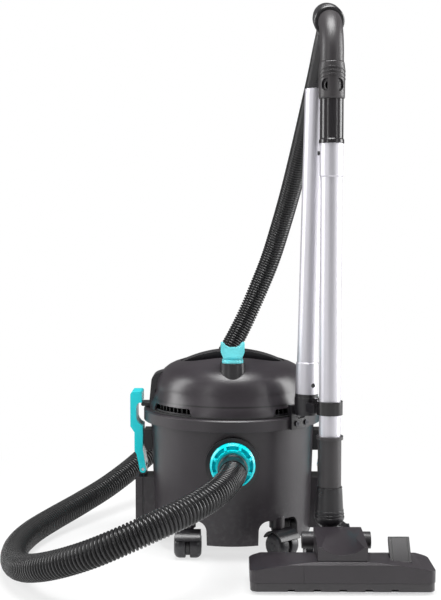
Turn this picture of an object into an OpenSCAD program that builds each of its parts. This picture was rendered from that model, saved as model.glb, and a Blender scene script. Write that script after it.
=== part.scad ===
// Tub vacuum cleaner for commercial use: a drum on five castors with a lift-off motor lid,
// a ribbed hose, an aluminium wand parked at the side and a hard-floor and carpet head.
// Millimetres. The floor is z = 0, +X is to the right, +Y points to the back.
// Everything is drawn round the tub's own axis and then moved so that the origin
// lies under the middle of the whole machine.

/* [Tub] */
// Outer radius of the tub wall at the rim
tub_top_r = 134; // [132:0.5:136]
// How much narrower the tub is at its skirt
tub_taper = 7.5; // [5:0.5:10]
// Height of the rim above the floor
rim_z = 220; // [214:1:226]
// Lower edge of the skirt
skirt_z = 22; // [18:1:26]
// Underside of the tub's floor
tub_floor_z = 63; // [61:1:68]
// How far the rolled rim band stands out
band_out = 11; // [9:0.5:13]
// Height of the rim band
band_h = 18; // [14:1:22]
// Wall of the moulded tub
tub_wall = 3; // [2.4:0.2:3.6]

/* [Lid] */
// How far the lid's seam stands out over the tub's rim
lid_out = 2; // [0.5:0.5:3.5]
// Height of the seam between tub and lid
seam_z = 222; // [216:1:228]
// Top of the dome
dome_z = 309; // [303:1:314]
// Radius of the rounded shoulder
shoulder_r = 45; // [42:1:48]
// Wall of the lid
lid_wall = 3; // [2.4:0.2:3.6]
// Floor of the hand recess under the carry handle
recess_z = 270; // [266:1:274]
// Height of the exhaust slots
slot_h = 11; // [8:1:13]

/* [Carry handle] */
// Radius of the top of the arch
arch_r = 190; // [180:1:200]
// Height of the top of the arch
arch_z = 314; // [310:1:322]
// Thickness of the arch
arch_t = 13; // [11:0.5:15]
// Width of the handle from front to back
handle_w = 40; // [34:1:44]

/* [Motor and filters] */
// Radius of the fan case
fan_case_r = 66; // [60:1:68]
// Radius of the motor barrel
motor_r = 46; // [42:1:50]
// Radius of the filter basket
basket_r = 88; // [84:1:90]
// Underside of the filter basket
basket_z = 140; // [138:1:146]

/* [Inlet] */
// Height of the inlet's axis
inlet_z = 152; // [150:1:156]
// Radius of the dark outer ring
flange_r = 41.5; // [40:0.5:44]
// Radius of the coloured ring
ring_r = 34.5; // [32:0.5:36]
// Ribs round the coloured ring
ring_ribs = 8; // [6:1:12]
// Bore radius of the inlet pipe
inlet_bore_r = 19; // [18:0.5:20]

/* [Hose] */
// Outer radius of the hose over its ribs
hose_r = 20; // [18:0.5:21]

/* [Latches] */
// Distance of the latch pin outside the rim band
latch_pin_out = 1; // [0:0.5:2]
// Height of the latch pin
latch_pin_z = 119; // [116:1:122]
// Width of a latch
latch_w = 44; // [38:1:48]

/* [Castors] */
// Distance of the castor stems inside the skirt
castor_in = 8.5; // [7.5:0.5:14]
// Radius of a castor wheel
castor_wheel_r = 20; // [18:0.5:20.5]
// Width of one wheel of a pair
castor_wheel_w = 18; // [14:1:19]
// Distance from the stem to the axle
castor_trail = 12; // [9:0.5:14]

/* [Wand] */
// Outer radius of the wand tubes
tube_r = 16; // [15.8:0.05:16.05]
// Wall of the wand tubes
tube_wall = 1.1; // [0.9:0.1:1.2]
// Length of each wand tube
tube_len = 462; // [440:2:480]
// Length of the swaged socket at one end
swage_len = 47; // [44:1:50]
// Distance of the wand's axis outside the rim band
wand_out = 77.8; // [76:0.2:79]
// Direction of the wand from the tub's axis, in degrees
wand_bearing = -49.73; // [-50.5:0.01:-49]
// Height at which the wand's lower end seats
wand_z = 172; // [170:1:176]
// Distance of the spare tube's foot outside the rim band
spare_out = 15.2; // [14:0.2:16]
// Direction of the spare tube's foot from the tub's axis, in degrees
spare_bearing = -44.9; // [-45.4:0.1:-44.4]
// Height of the spare tube's foot
spare_z = 258; // [256:1:262]
// Lean of the spare tube to the right, in degrees
spare_lean = 1.4; // [1.2:0.1:1.6]

/* [Hand grip] */
// Outer radius of the grip tube
grip_r = 17.4; // [17.2:0.1:17.6]
// Length of the tube below the air ring
grip_len = 64; // [58:1:70]
// Height of the air-bleed ring
air_ring_h = 54; // [48:1:60]
// Bend radius at the top of the grip
grip_bend_r = 58; // [54:1:64]
// Turn of that bend, in degrees
grip_turn = 72; // [68:1:76]

/* [Floor head] */
// Width of the head
head_w = 260; // [240:1:270]
// Depth of the head from front to back
head_d = 88; // [84:1:92]
// Height of the head's front at its middle
head_h = 46; // [44:0.5:48]
// Drop of the head's top towards its ends
head_drop = 11; // [8:0.5:13]
// Distance of the head's front from the neck
head_reach = 116; // [113:1:118]
// Shift of the head's middle, to the right of the neck
head_shift = 9.5; // [7:0.5:11]
// Height of the neck's tilt axis
neck_z = 48; // [47:0.5:49]
// Radius of the neck barrel
barrel_r = 25; // [24:0.5:26]
// Radius of the head's rear wheels
head_wheel_r = 17.5; // [16:0.5:18]

/* [Fits] */
// Radial clearance of pins, shafts and sleeves that turn or slide
run_fit = 0.05; // [0.03:0.01:0.08]
// Gap between moving faces
face_gap = 0.3; // [0.2:0.05:0.5]
// Gap between pieces of one assembly
seat_gap = 0.1; // [0.05:0.05:0.2]

/* [Hidden] */
$fn = 96;
eps = 0.01;

// Radii that follow the tub's rim
tub_foot_r = tub_top_r - tub_taper;
band_r = tub_top_r + band_out;
lid_r = tub_top_r + lid_out;
latch_pin_x = band_r + latch_pin_out;
castor_ring_r = tub_foot_r - castor_in;
wand_x = (band_r + wand_out) * cos(wand_bearing);
wand_y = (band_r + wand_out) * sin(wand_bearing);
spare_x = (band_r + spare_out) * cos(spare_bearing);
spare_y = (band_r + spare_out) * sin(spare_bearing);

// The origin lies under the middle of the machine without its hose
latch_out = latch_pin_x + 20;
corner_r = 12;
corner_x = head_w / 2 - corner_r;
corner_y = head_reach - corner_r;
head_right = wand_x + head_shift + head_w / 2;
head_front = wand_y - head_reach;
centre_x = (head_right - latch_out) / 2;
centre_y = (band_r + head_front) / 2;

// Tub
tub_floor_top = tub_floor_z + tub_wall;
pocket_r = 38.5;
pocket_top = tub_floor_z - 4;
bag_edge = 26;
bag_r = tub_foot_r - tub_wall - 1.5;
castor_start = -54;
castor_step = 72;
// Where each castor points at rest
castor_turn = [40, -25, 15, 30, 0];
boss_r = 12;
stem_r = 5;
socket_r = 7.5;
stem_top = tub_floor_z - 2;
pilaster_x = latch_pin_x + 12;
pilaster_w = 44;
pilaster_z = 24;
pilaster_top = latch_pin_z - 12;
lug_w = 23;
latch_pin_r = 2.5;
colour_shell = "#474548";
colour_black = "#232324";
colour_teal = "#00b0b8";
colour_metal = "#c8cacd";

function tub_r(z) = tub_foot_r + (tub_top_r - tub_foot_r) * (z - skirt_z) / (rim_z - skirt_z);
function arc(cx, cy, r, from, to, steps) =
    [for (i = [0:steps]) let (a = from + (to - from) * i / steps) [cx + r * cos(a), cy + r * sin(a)]];
function castor_angle(i) = castor_start + castor_step * (i - 1);

// Lid
lid_waist = 11;
shoulder_in = lid_r - lid_waist - shoulder_r;
shoulder_end = 70;
gasket_t = 1.8;
lid_plate_t = 3;
recess_l = 85;
screw_ring_r = lid_r - 24;
recess_w = 92;
ear_x = lid_r;
ear_in = lid_r - 10;
ear_taper = 4;
ear_fillet = 14;
ear_angle = 56;
slot_z = seam_z;
slot_from = 30;
slot_to = 66;
arch_cz = arch_z - arch_r;
shoulder_z = seam_z + (dome_z - seam_z) / 2 - 15;
dome_foot_r = shoulder_in + shoulder_r * cos(shoulder_end);
dome_foot_z = shoulder_z + shoulder_r * sin(shoulder_end);
dome_r = (pow(dome_foot_r, 2) + pow(dome_z - dome_foot_z, 2)) / (2 * (dome_z - dome_foot_z));
dome_cz = dome_z - dome_r;
function dome_top(r) = dome_cz + sqrt(dome_r * dome_r - r * r);

// Latch
latch_top_z = 246.5;
latch_lug_x = latch_pin_x + 3;
latch_lug_z = seam_z + 6;
latch_hook_x = latch_pin_x + 1;
latch_eye_r = 5.5;
latch_hook_z = latch_lug_z + 0.6;

// Motor stack, measured up from the lid's base plate
plate_top = seam_z + lid_plate_t;
fan_case_z = 188;
fan_case_top = 216;
motor_top = recess_z - lid_wall - 5;
motor_wall = 2.5;
seal_t = 3;
motor_flange_r = 80;
motor_hole_r = fan_case_r + 2;
foam_clear = 4;
foam_w = 12;
motor_flange_z = plate_top + seal_t;
armature_z = fan_case_top + 6;
armature_h = motor_top - 12 - armature_z;
shaft_r = 4;

// Switch and cradle
switch_in = 52;
switch_y = lid_r - switch_in;
switch_tip = 10;
mains_z = 250;
mains_r = 12;
cradle_in = 41;
cradle_y = cradle_in - lid_r;
cradle_r = 19.7;
cradle_z = 303;

// Inlet
inlet_y = -tub_r(inlet_z);
pipe_r = inlet_bore_r + 2.5;
cuff_r = inlet_bore_r - run_fit;
cuff_end = inlet_y - 72;
pipe_end = 19.5 - tub_foot_r;

// Wand
swage_r = tube_r + 1.25;
swage_in = swage_r - tube_wall;
tube_in = tube_r - tube_wall;
wand_top = wand_z + tube_len;
grip_z = wand_top;
air_ring_z = grip_z + grip_len;
bend_z = air_ring_z + air_ring_h + 10;
bend_end_y = grip_bend_r * (1 - cos(grip_turn));
bend_end_z = bend_z + grip_bend_r * sin(grip_turn);
grip_wall = 3;
cuff_seat_r = grip_r - 0.4;
cuff_gap = 5;
cuff_len = 62;
cuff_hold = 34;
hand_cuff_r = 23;
button_z = wand_top - 14;
button_r = 3.3;
button_travel = 3.4;
neck_top = 198;
neck_low = 127;
neck_foot = 96;
neck_r = 17.5;
hanger_z = 234;
hanger_h = 20;
hanger_u = 32;
hanger_angle = atan2(spare_y - wand_y, spare_x - wand_x);
hanger_span = norm([wand_x - spare_x, wand_y - spare_y]);
spigot_h = 40;

// Head, in its own frame: x across, y back, the neck's axis at x = y = 0
head_y = -head_reach;
head_back = head_y + head_d;
head_wall = 2.5;
sole_z = 5;
mouth_y = head_y + 26;
mouth_d = 16;
mouth_w = head_w - 40;
barrel_y = -8;
barrel_w = 44;
tilt_pin_r = 5;
split_z = 17;
saddle_w = 70;
saddle_top = 72;
saddle_y = head_y + 7;
saddle_lip_z = 66;
scoop_r = 46;
saddle_scoop_rise = 17;
brush_low = 2.5;
brush_top = 11.5;
brush_rise = 2;
head_wheel_y = 20;
head_wheel_w = 15;
arm_x = barrel_w / 2 + 4.3;
hub_x = 51;
pedal_pin_r = 2;
pedal_x = 85;
pedal_w = 30;
pedal_y = head_y + 37;
pedal_z = head_h - 16;

// Hose route in the tub's frame, from the inlet cuff to the hand grip's cuff
hose_wall = 2;
hose_end = cuff_gap + cuff_len + face_gap;
hose_route = [
    [0, cuff_end - face_gap, inlet_z], [-15, -261, 145], [-45, -307, 134], [-87, -339, 120],
    [-136, -354, 101], [-186, -352, 79], [-234, -330, 58], [-276, -292, 40], [-307, -241, 27],
    [-326, -181, 21], [-332, -115, 21], [-322, -47, 23], [-298, 20, 27], [-263, 86, 36],
    [-221, 150, 52], [-176, 213, 78], [-130, 272, 114], [-87, 326, 157], [-46, 372, 208],
    [-9, 406, 264], [24, 425, 325], [52, 428, 388], [77, 416, 452], [96, 391, 516],
    [112, 355, 578], [125, 312, 637], [136, 265, 692], [145, 214, 741], [152, 161, 782],
    [156, 106, 814], [158, 49, 835], [155, -8, 843],
    [wand_x, wand_y + bend_end_y + hose_end * sin(grip_turn), bend_end_z + hose_end * cos(grip_turn)]
];
hose_sides = 12;
hose_steps = 2;

module in_place() {
    translate([-centre_x, -centre_y, 0]) children();
}

// A ring about the z axis
module ring(outer, inner, z, h) {
    translate([0, 0, z]) difference() {
        cylinder(r = outer, h = h);
        translate([0, 0, -1]) cylinder(r = inner, h = h + 2);
    }
}

module at_inlet() {
    translate([0, 0, inlet_z]) rotate([90, 0, 0]) children();
}

module at_wand() {
    translate([wand_x, wand_y, 0]) children();
}

module at_spare() {
    translate([spare_x, spare_y, spare_z]) rotate([0, spare_lean, 0]) children();
}

module at_head() {
    at_wand() translate([head_shift, 0, 0]) children();
}

// The end of the grip's bend, with z along the hose cuff
module at_cuff() {
    at_wand() translate([0, bend_end_y, bend_end_z]) rotate([-grip_turn, 0, 0]) children();
}

module at_castor(i) {
    a = castor_angle(i);
    translate([castor_ring_r * cos(a), castor_ring_r * sin(a), 0]) children();
}

module each_side() {
    for (side = [0, 1]) mirror([side, 0, 0]) children();
}

// ---- Tub ----

module tub_form() {
    rotate_extrude($fn = 128) polygon([
        [0, skirt_z], [tub_foot_r, skirt_z], [tub_r(rim_z), rim_z], [0, rim_z]
    ]);
}

module tub_wall_ring() {
    under = rim_z - tub_wall;
    rotate_extrude($fn = 128) polygon([
        [tub_foot_r - tub_wall, skirt_z], [tub_foot_r, skirt_z], [tub_r(under), under],
        [band_r - tub_wall, under], [band_r - tub_wall, rim_z - band_h],
        [band_r, rim_z - band_h], [band_r, rim_z - 2], [band_r - 2, rim_z],
        [tub_r(rim_z) - tub_wall, rim_z], [tub_r(tub_floor_top) - tub_wall, tub_floor_top],
        [0, tub_floor_top], [0, tub_floor_z], [tub_r(tub_floor_z) - tub_wall, tub_floor_z]
    ]);
}

module castor_pocket() {
    rotate_extrude() polygon(concat(
        [[0, 0], [pocket_r, 0]],
        arc(pocket_r - 14, pocket_top - 14, 14, 0, 90, 5),
        [[0, pocket_top]]
    ));
}

// The moulded rib down each side of the tub that carries the latch's pin
module pilaster() {
    difference() {
        union() {
            translate([tub_foot_r - 8, -pilaster_w / 2, pilaster_z])
                cube([pilaster_x - tub_foot_r + 8, pilaster_w, pilaster_top - pilaster_z]);
            hull() {
                translate([latch_pin_x, 0, latch_pin_z]) rotate([90, 0, 0])
                    cylinder(r = 5.5, h = lug_w, center = true, $fn = 32);
                translate([latch_pin_x - 5, -lug_w / 2, pilaster_top - 1]) cube([12, lug_w, 1]);
            }
        }
        // the dark groove between the outer and the inner strip
        for (y = [-1, 1]) translate([pilaster_x - 14, y * pilaster_w / 2 - 2, pilaster_z - 1])
            cube([2.5, 4, pilaster_top - pilaster_z + 2]);
        translate([latch_pin_x, 0, latch_pin_z]) rotate([90, 0, 0])
            cylinder(r = latch_pin_r, h = lug_w + 2, center = true, $fn = 32);
        // cored out from below
        translate([tub_r(tub_floor_z) + 2, -pilaster_w / 2 + 5, pilaster_z - 1])
            cube([pilaster_x - tub_r(tub_floor_z) - 5, pilaster_w - 10, pilaster_top - pilaster_z - 4]);
    }
}

module tub_shell() color(colour_shell) in_place() difference() {
    union() {
        tub_wall_ring();
        each_side() difference() {
            pilaster();
            translate([0, 0, -1]) cylinder(r = tub_foot_r - 1, h = rim_z);
        }
        for (i = [1:5]) at_castor(i) translate([0, 0, stem_top - 16])
            cylinder(r = boss_r, h = tub_floor_z - stem_top + 16 + eps);
        ring(24, 21, tub_floor_z - 20, 20 + eps);
        for (i = [1:5]) rotate(castor_angle(i) + castor_step / 2)
            translate([22, -1.25, tub_floor_z - 20]) cube([tub_foot_r - 23, 2.5, 20 + eps]);
    }
    for (i = [1:5]) at_castor(i) difference() {
        castor_pocket();
        translate([0, 0, stem_top - 16]) cylinder(r = boss_r, h = 40);
    }
    for (i = [1:5]) at_castor(i) translate([0, 0, stem_top - 17])
        cylinder(r = socket_r, h = 17, $fn = 48);
    at_inlet() translate([0, 0, -pipe_end - 17]) cylinder(r = pipe_r + seat_gap, h = 60);
}

module latch_pads() color(colour_black) in_place() each_side() difference() {
    low = latch_pin_z + 32;
    translate([tub_foot_r, -18, low]) cube([latch_hook_x - 3 - tub_foot_r, 36, 32]);
    tub_form();
    translate([latch_hook_x - 6.5, -19, low - eps]) rotate([0, 30, 0]) cube([20, 38, 12]);
}

module latch_pins() color(colour_metal) in_place() each_side()
    translate([latch_pin_x, 0, latch_pin_z]) rotate([90, 0, 0])
        cylinder(r = latch_pin_r - seat_gap / 4, h = latch_w - 2, center = true, $fn = 32);

module inlet_flange() color(colour_black) in_place() difference() {
    at_inlet() translate([0, 0, -pipe_end]) cylinder(r = flange_r, h = -inlet_y + pipe_end + 9);
    difference() {
        tub_form();
        at_inlet() cylinder(r = pipe_r, h = 200);
    }
    at_inlet() translate([0, 0, -pipe_end - 17]) cylinder(r = inlet_bore_r, h = 90);
    // seat of the coloured ring
    at_inlet() translate([0, 0, -inlet_y + 5]) cylinder(r = ring_r + seat_gap, h = 10);
}

module inlet_ring() color(colour_teal) in_place() at_inlet()
    translate([0, 0, -inlet_y + 5]) difference() {
        rotate_extrude() polygon([
            [inlet_bore_r + 3, 0], [ring_r, 0], [ring_r, 8], [ring_r - 3, 12],
            [inlet_bore_r + 9, 22], [inlet_bore_r + 3, 22]
        ]);
        difference() {
            rotate_extrude() polygon([
                [inlet_bore_r + 6.5, 24], [inlet_bore_r + 6.5, 10],
                [ring_r - 3.5, 6], [ring_r - 3.5, 24]
            ]);
            rotate_extrude() polygon([
                [inlet_bore_r, -1], [ring_r, -1], [ring_r, 5], [inlet_bore_r, 12]
            ]);
            for (i = [0:ring_ribs - 1]) rotate((i + 0.5) * 360 / ring_ribs)
                translate([0, -2, -1]) cube([ring_r, 4, 30]);
        }
    }

module inlet_seal() color(colour_black) in_place() at_inlet()
    translate([0, 0, -inlet_y + 5]) rotate_extrude() polygon([
        [inlet_bore_r + run_fit, 0], [inlet_bore_r + 3 - seat_gap, 0],
        [inlet_bore_r + 3 - seat_gap, 22], [inlet_bore_r + 1.5, 24], [inlet_bore_r + run_fit, 24]
    ]);

module castor_sockets() color(colour_metal) in_place() for (i = [1:5]) at_castor(i)
    ring(socket_r - seat_gap / 2, stem_r + run_fit, stem_top - 16, 16 - seat_gap);

module dust_bag() color("#e8dcc0") in_place() {
    rotate_extrude() polygon(concat(
        [[0, tub_floor_top + face_gap], [bag_r - bag_edge, tub_floor_top + face_gap]],
        arc(bag_r - bag_edge, tub_floor_top + face_gap + bag_edge, bag_edge, -90, 90, 8),
        [[0, tub_floor_top + face_gap + 2 * bag_edge + 6]]
    ));
    translate([-28, pipe_end + face_gap, tub_floor_top + 44]) cube([56, 5, 68]);
}

module bag_collar() color("#c9a36a") in_place() at_inlet()
    translate([0, 0, -pipe_end + seat_gap]) difference() {
        translate([-36, -36, 0]) cube([72, 72, 2.4]);
        translate([0, 0, -1]) cylinder(r = pipe_r + seat_gap, h = 5);
        for (a = [45:90:315]) rotate(a) translate([46, 0, -1]) cylinder(r = 3, h = 5, $fn = 32);
    }

bracket_angle = atan2(spare_y, spare_x);
bracket_z = rim_z - band_h;

// The bracket screwed to the rim band: a spigot for the spare tube and a pocket for the wand's hanger
module parking_bracket() color(colour_black) in_place() difference() {
    union() {
        rotate(bracket_angle - 8) rotate_extrude(angle = 16) polygon([
            [band_r + seat_gap, bracket_z], [band_r + 5, bracket_z],
            [band_r + 5, hanger_z + 6], [band_r - 3, hanger_z + 6], [band_r - 3, rim_z + 1],
            [band_r + seat_gap, rim_z + 1]
        ]);
        translate([spare_x, spare_y, rim_z + 6]) cylinder(r = 18.5, h = spare_z - rim_z - 11);
        at_spare() translate([0, 0, -9]) cylinder(r = 17.5, h = 9 - seat_gap);
        at_spare() translate([0, 0, -5]) cylinder(r = swage_in - 0.1, h = spigot_h + 5);
        at_wand() rotate(hanger_angle) translate([hanger_u - 6, -11, hanger_z - 1])
            cube([hanger_span - hanger_u - 6, 22, 13]);
    }
    // the pocket that the wand's hanger drops into
    at_wand() rotate(hanger_angle) translate([hanger_u - 3 - face_gap, -7 - face_gap, hanger_z + 2])
        cube([6 + 2 * face_gap, 14 + 2 * face_gap, 20]);
    at_spare() translate([0, 0, -40]) cylinder(r = swage_in - 3, h = spigot_h + 60);
    for (a = [-4, 4]) rotate(bracket_angle + a) translate([band_r - 2, 0, rim_z - 9])
        rotate([0, 90, 0]) cylinder(r = 2, h = 12, $fn = 24);
}

// The collar clamped on the wand, with a tongue that hangs in the bracket's pocket
module wand_hanger() color(colour_black) in_place() at_wand() {
    ring(tube_r + 3.2, tube_r + seat_gap / 2, hanger_z + 1, hanger_h);
    rotate(hanger_angle) difference() {
        union() {
            translate([0, -7, hanger_z + 13]) cube([hanger_u + 3, 14, hanger_h - 12]);
            translate([hanger_u - 3, -7, hanger_z + 2 + face_gap]) cube([6, 14, hanger_h - 2]);
        }
        cylinder(r = tube_r + 2, h = 400);
    }
}

module bracket_screws() color(colour_metal) in_place()
    for (a = [-4, 4]) rotate(bracket_angle + a) translate([band_r + seat_gap, 0, rim_z - 9])
        rotate([0, 90, 0]) difference() {
            union() {
                cylinder(r = 2 - run_fit, h = 5.5, $fn = 24);
                translate([0, 0, 5]) cylinder(r = 4, h = 2.2, $fn = 32);
            }
            for (q = [0, 90]) rotate(q) translate([-2, -0.5, 6.4]) cube([4, 1, 2]);
        }

// ---- Hose ----

function sub(a, b) = [a.x - b.x, a.y - b.y, a.z - b.z];
function unit(v) = v / norm(v);
hose_last = len(hose_route) - 1;
// One more knot beyond each end carries the curve straight out of its cuff
function hose_knot(i) = i < 0 ? hose_route[0] + [0, 60, 0]
    : i > hose_last ? hose_route[hose_last] - 60 * [0, sin(grip_turn), cos(grip_turn)]
    : hose_route[i];
// Catmull-Rom curve through the route's points
function hose_curve(i, t) = let (
    a = hose_knot(i - 1), b = hose_knot(i), c = hose_knot(i + 1), d = hose_knot(i + 2)
) 0.5 * (2 * b + (c - a) * t + (2 * a - 5 * b + 4 * c - d) * t * t
    + (3 * b - a - 3 * c + d) * t * t * t);
hose_points = concat(
    [for (i = [0:hose_last - 1]) for (k = [0:hose_steps - 1]) hose_curve(i, k / hose_steps)],
    [hose_route[hose_last]]
);
hose_rings = len(hose_points);
function hose_dir(i) = i == 0 ? [0, -1, 0]
    : i == hose_rings - 1 ? [0, -sin(grip_turn), -cos(grip_turn)]
    : unit(sub(hose_points[i + 1], hose_points[i - 1]));
// Each ring's side direction is carried along from the ring before it
function hose_side(i) = i == 0 ? [1, 0, 0]
    : let (s = hose_side(i - 1), d = hose_dir(i)) unit(s - (s * d) * d);

module hose() color(colour_black) in_place() {
    sides = [for (i = [0:hose_rings - 1]) hose_side(i)];
    outer = [for (i = [0:hose_rings - 1]) let (d = hose_dir(i), u = sides[i], v = cross(d, u))
        for (k = [0:hose_sides - 1]) let (a = 360 * k / hose_sides)
            hose_points[i] + hose_r * (cos(a) * u + sin(a) * v)];
    inner = [for (i = [0:hose_rings - 1]) let (d = hose_dir(i), u = sides[i], v = cross(d, u))
        for (k = [0:hose_sides - 1]) let (a = 360 * k / hose_sides)
            hose_points[i] + (hose_r - hose_wall) * (cos(a) * u + sin(a) * v)];
    n = hose_sides;
    m = hose_rings * n;
    last = (hose_rings - 1) * n;
    polyhedron(concat(outer, inner), concat(
        [for (i = [0:hose_rings - 2]) for (k = [0:n - 1]) let (j = (k + 1) % n)
            [i * n + k, i * n + j, (i + 1) * n + j, (i + 1) * n + k]],
        [for (i = [0:hose_rings - 2]) for (k = [0:n - 1]) let (j = (k + 1) % n)
            [m + i * n + j, m + i * n + k, m + (i + 1) * n + k, m + (i + 1) * n + j]],
        [for (k = [0:n - 1]) let (j = (k + 1) % n) [m + k, m + j, j, k]],
        [for (k = [0:n - 1]) let (j = (k + 1) % n)
            [last + k, last + j, m + last + j, m + last + k]]
    ));
}

// ---- Lid ----

function lid_profile(o) = let (
    from = asin((shoulder_in + (shoulder_r - o) * cos(shoulder_end)) / (dome_r - o))
) concat(
    arc(shoulder_in, shoulder_z, shoulder_r - o, 0, shoulder_end, 6),
    [for (i = [7:-1:0]) let (a = from * i / 7) [(dome_r - o) * sin(a), dome_cz + (dome_r - o) * cos(a)]]
);

// The lid's outer form, drawn in by o
module lid_form(o = 0) {
    low = seam_z - (o > 0 ? 1 : 0);
    rotate_extrude($fn = 128) polygon(concat(
        [[0, low], [lid_r - o, low], [lid_r - o, seam_z + 4]], lid_profile(o)
    ));
}

// Outline of the arched handle and its side legs, seen from the front, grown by g
module handle_outline(g = 0) {
    fillet_x = ear_x - ear_taper - ear_fillet;
    fillet_z = arch_z - 51;
    inner_r = arch_r - arch_t - g;
    foot = acos((ear_in - g) / inner_r);
    polygon(concat(
        [[ear_in - g, seam_z - g], [ear_x + g, seam_z - g]],
        arc(fillet_x, fillet_z, ear_fillet + g, 0, 75, 6),
        arc(0, arch_cz, arch_r + g, ear_angle, 180 - ear_angle, 28),
        arc(-fillet_x, fillet_z, ear_fillet + g, 105, 180, 6),
        [[-ear_x - g, seam_z - g], [g - ear_in, seam_z - g]],
        arc(0, arch_cz, inner_r, 180 - foot, foot, 32)
    ));
}

module handle_block(g = 0) {
    rotate([90, 0, 0]) linear_extrude(handle_w + 2 * g, center = true) handle_outline(g);
}

// The hand recess: a long round-ended well under the arch
module hand_recess(g = 0) {
    end = recess_l - recess_w / 2;
    intersection() {
        union() {
            for (x = [-end, end]) translate([x, 0, recess_z - g]) cylinder(r = recess_w / 2 + g, h = 60);
            translate([-end, -recess_w / 2 - g, recess_z - g]) cube([2 * end, recess_w + 2 * g, 60]);
        }
        translate([-200, -200, 0]) cube([400, 400, dome_z + 10]);
    }
}

// A slot down to the seam, with a slanted inner end
module exhaust_slot() {
    rotate(slot_from - 90) {
        rotate_extrude(angle = slot_to - slot_from)
            translate([lid_r - 18, slot_z - 1]) square([30, slot_h + 1]);
        translate([lid_r - 18, 0, slot_z]) rotate([90, 0, 90]) linear_extrude(30)
            polygon([[1, -1], [-7, -1], [0, slot_h], [1, slot_h]]);
    }
}

module lid_shell() color(colour_shell) in_place() {
    difference() {
        union() {
            difference() {
                lid_form();
                difference() {
                    lid_form(lid_wall);
                    handle_block(seat_gap + lid_wall);
                    hand_recess(lid_wall);
                    translate([0, cradle_y, 250]) cylinder(r = 9, h = 80);
                }
                each_side() exhaust_slot();
            }
            // louvres behind the exhaust slots
            each_side() for (a = [slot_from + 3:4:slot_to - 3])
                rotate(a - 90) translate([lid_r - 12, -0.8, plate_top + seat_gap])
                    cube([6, 1.6, slot_z + slot_h - plate_top + 3]);
            // screw posts
            intersection() {
                lid_form(lid_wall / 2);
                for (a = [45:90:315]) rotate(a) translate([screw_ring_r, 0, plate_top + seat_gap])
                    cylinder(r = 6, h = 60, $fn = 32);
            }
        }
        handle_block(seat_gap);
        each_side() translate([ear_x - ear_taper, -handle_w / 2 - seat_gap, seam_z - 1])
            cube([10, handle_w + 2 * seat_gap, 42]);
        hand_recess();
        for (a = [45:90:315]) rotate(a) translate([screw_ring_r, 0, seam_z])
            cylinder(r = 2, h = 20, $fn = 32);
        at_switch() translate([-11, -16, -20]) cube([22, 32, 40]);
        translate([0, lid_r - 34, mains_z]) rotate([-90, 0, 0]) cylinder(r = mains_r + seat_gap, h = 60);
    }
}

module carry_handle() color(colour_black) in_place() {
    lug_r = (latch_lug_z - seam_z) / 2;
    handle_block();
    // rounded lugs that the latches hook over
    each_side() rotate([90, 0, 0]) linear_extrude(28, center = true) {
        translate([ear_x - 2, seam_z]) square([latch_lug_x - lug_r - ear_x + 2, 2 * lug_r]);
        translate([latch_lug_x - lug_r, seam_z + lug_r]) circle(r = lug_r, $fn = 48);
    }
}

module cradle_post() color(colour_black) in_place() difference() {
    translate([0, cradle_y, 262]) cylinder(r = cradle_r, h = cradle_z - 262);
    lid_form(-seat_gap);
    translate([0, cradle_y, cradle_z - 8]) cylinder(r = 7, h = 20, $fn = 48);
}

// A soft fork that the hose or the cord is laid in
module cradle_fork() color(colour_teal) in_place() translate([0, cradle_y, cradle_z]) {
    difference() {
        union() {
            cylinder(r = 16.5, h = 5);
            translate([0, 0, -8 + seat_gap]) cylinder(r = 7 - seat_gap, h = 10, $fn = 48);
            translate([-15, -10, 4]) cube([30, 20, 8]);
            rotate([90, 0, 0]) linear_extrude(26, center = true) polygon([
                [-15, 9], [15, 9], [18.5, 18], [18.5, 31], [15, 31], [10, 25], [-10, 25],
                [-15, 31], [-18.5, 31], [-18.5, 18]
            ]);
        }
        translate([0, 14, 36]) rotate([90, 0, 0]) cylinder(r = 14, h = 40, center = true);
    }
}

module lid_base() color(colour_black) in_place() difference() {
    translate([0, 0, seam_z + seat_gap]) cylinder(r = lid_r - lid_wall - seat_gap, h = lid_plate_t - seat_gap);
    each_side() translate([ear_in - lid_wall - 2 * seat_gap, -40, seam_z - 1]) cube([20, 80, 20]);
    translate([0, 0, seam_z - 1]) cylinder(r = motor_hole_r, h = 10);
    for (a = [45:90:315]) rotate(a) translate([screw_ring_r, 0, seam_z - 1])
        cylinder(r = 2.2, h = 10, $fn = 32);
    for (a = [0:15:345]) rotate(a) translate([lid_r - 36, -2, seam_z - 1]) cube([8, 4, 10]);
}

module lid_gasket() color("#1a1a1a") in_place()
    ring(lid_r, lid_r - 6.5, rim_z + seat_gap, seam_z - rim_z - seat_gap);

module lid_screws() color(colour_metal) in_place() for (a = [45:90:315])
    rotate(a) translate([screw_ring_r, 0, seam_z + seat_gap]) difference() {
        union() {
            cylinder(r = 2 - run_fit, h = 18, $fn = 32);
            translate([0, 0, -2.4]) cylinder(r = 4, h = 2.4, $fn = 32);
        }
        for (q = [0, 90]) rotate(q) translate([-2, -0.5, -3]) cube([4, 1, 1.6]);
    }

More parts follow.
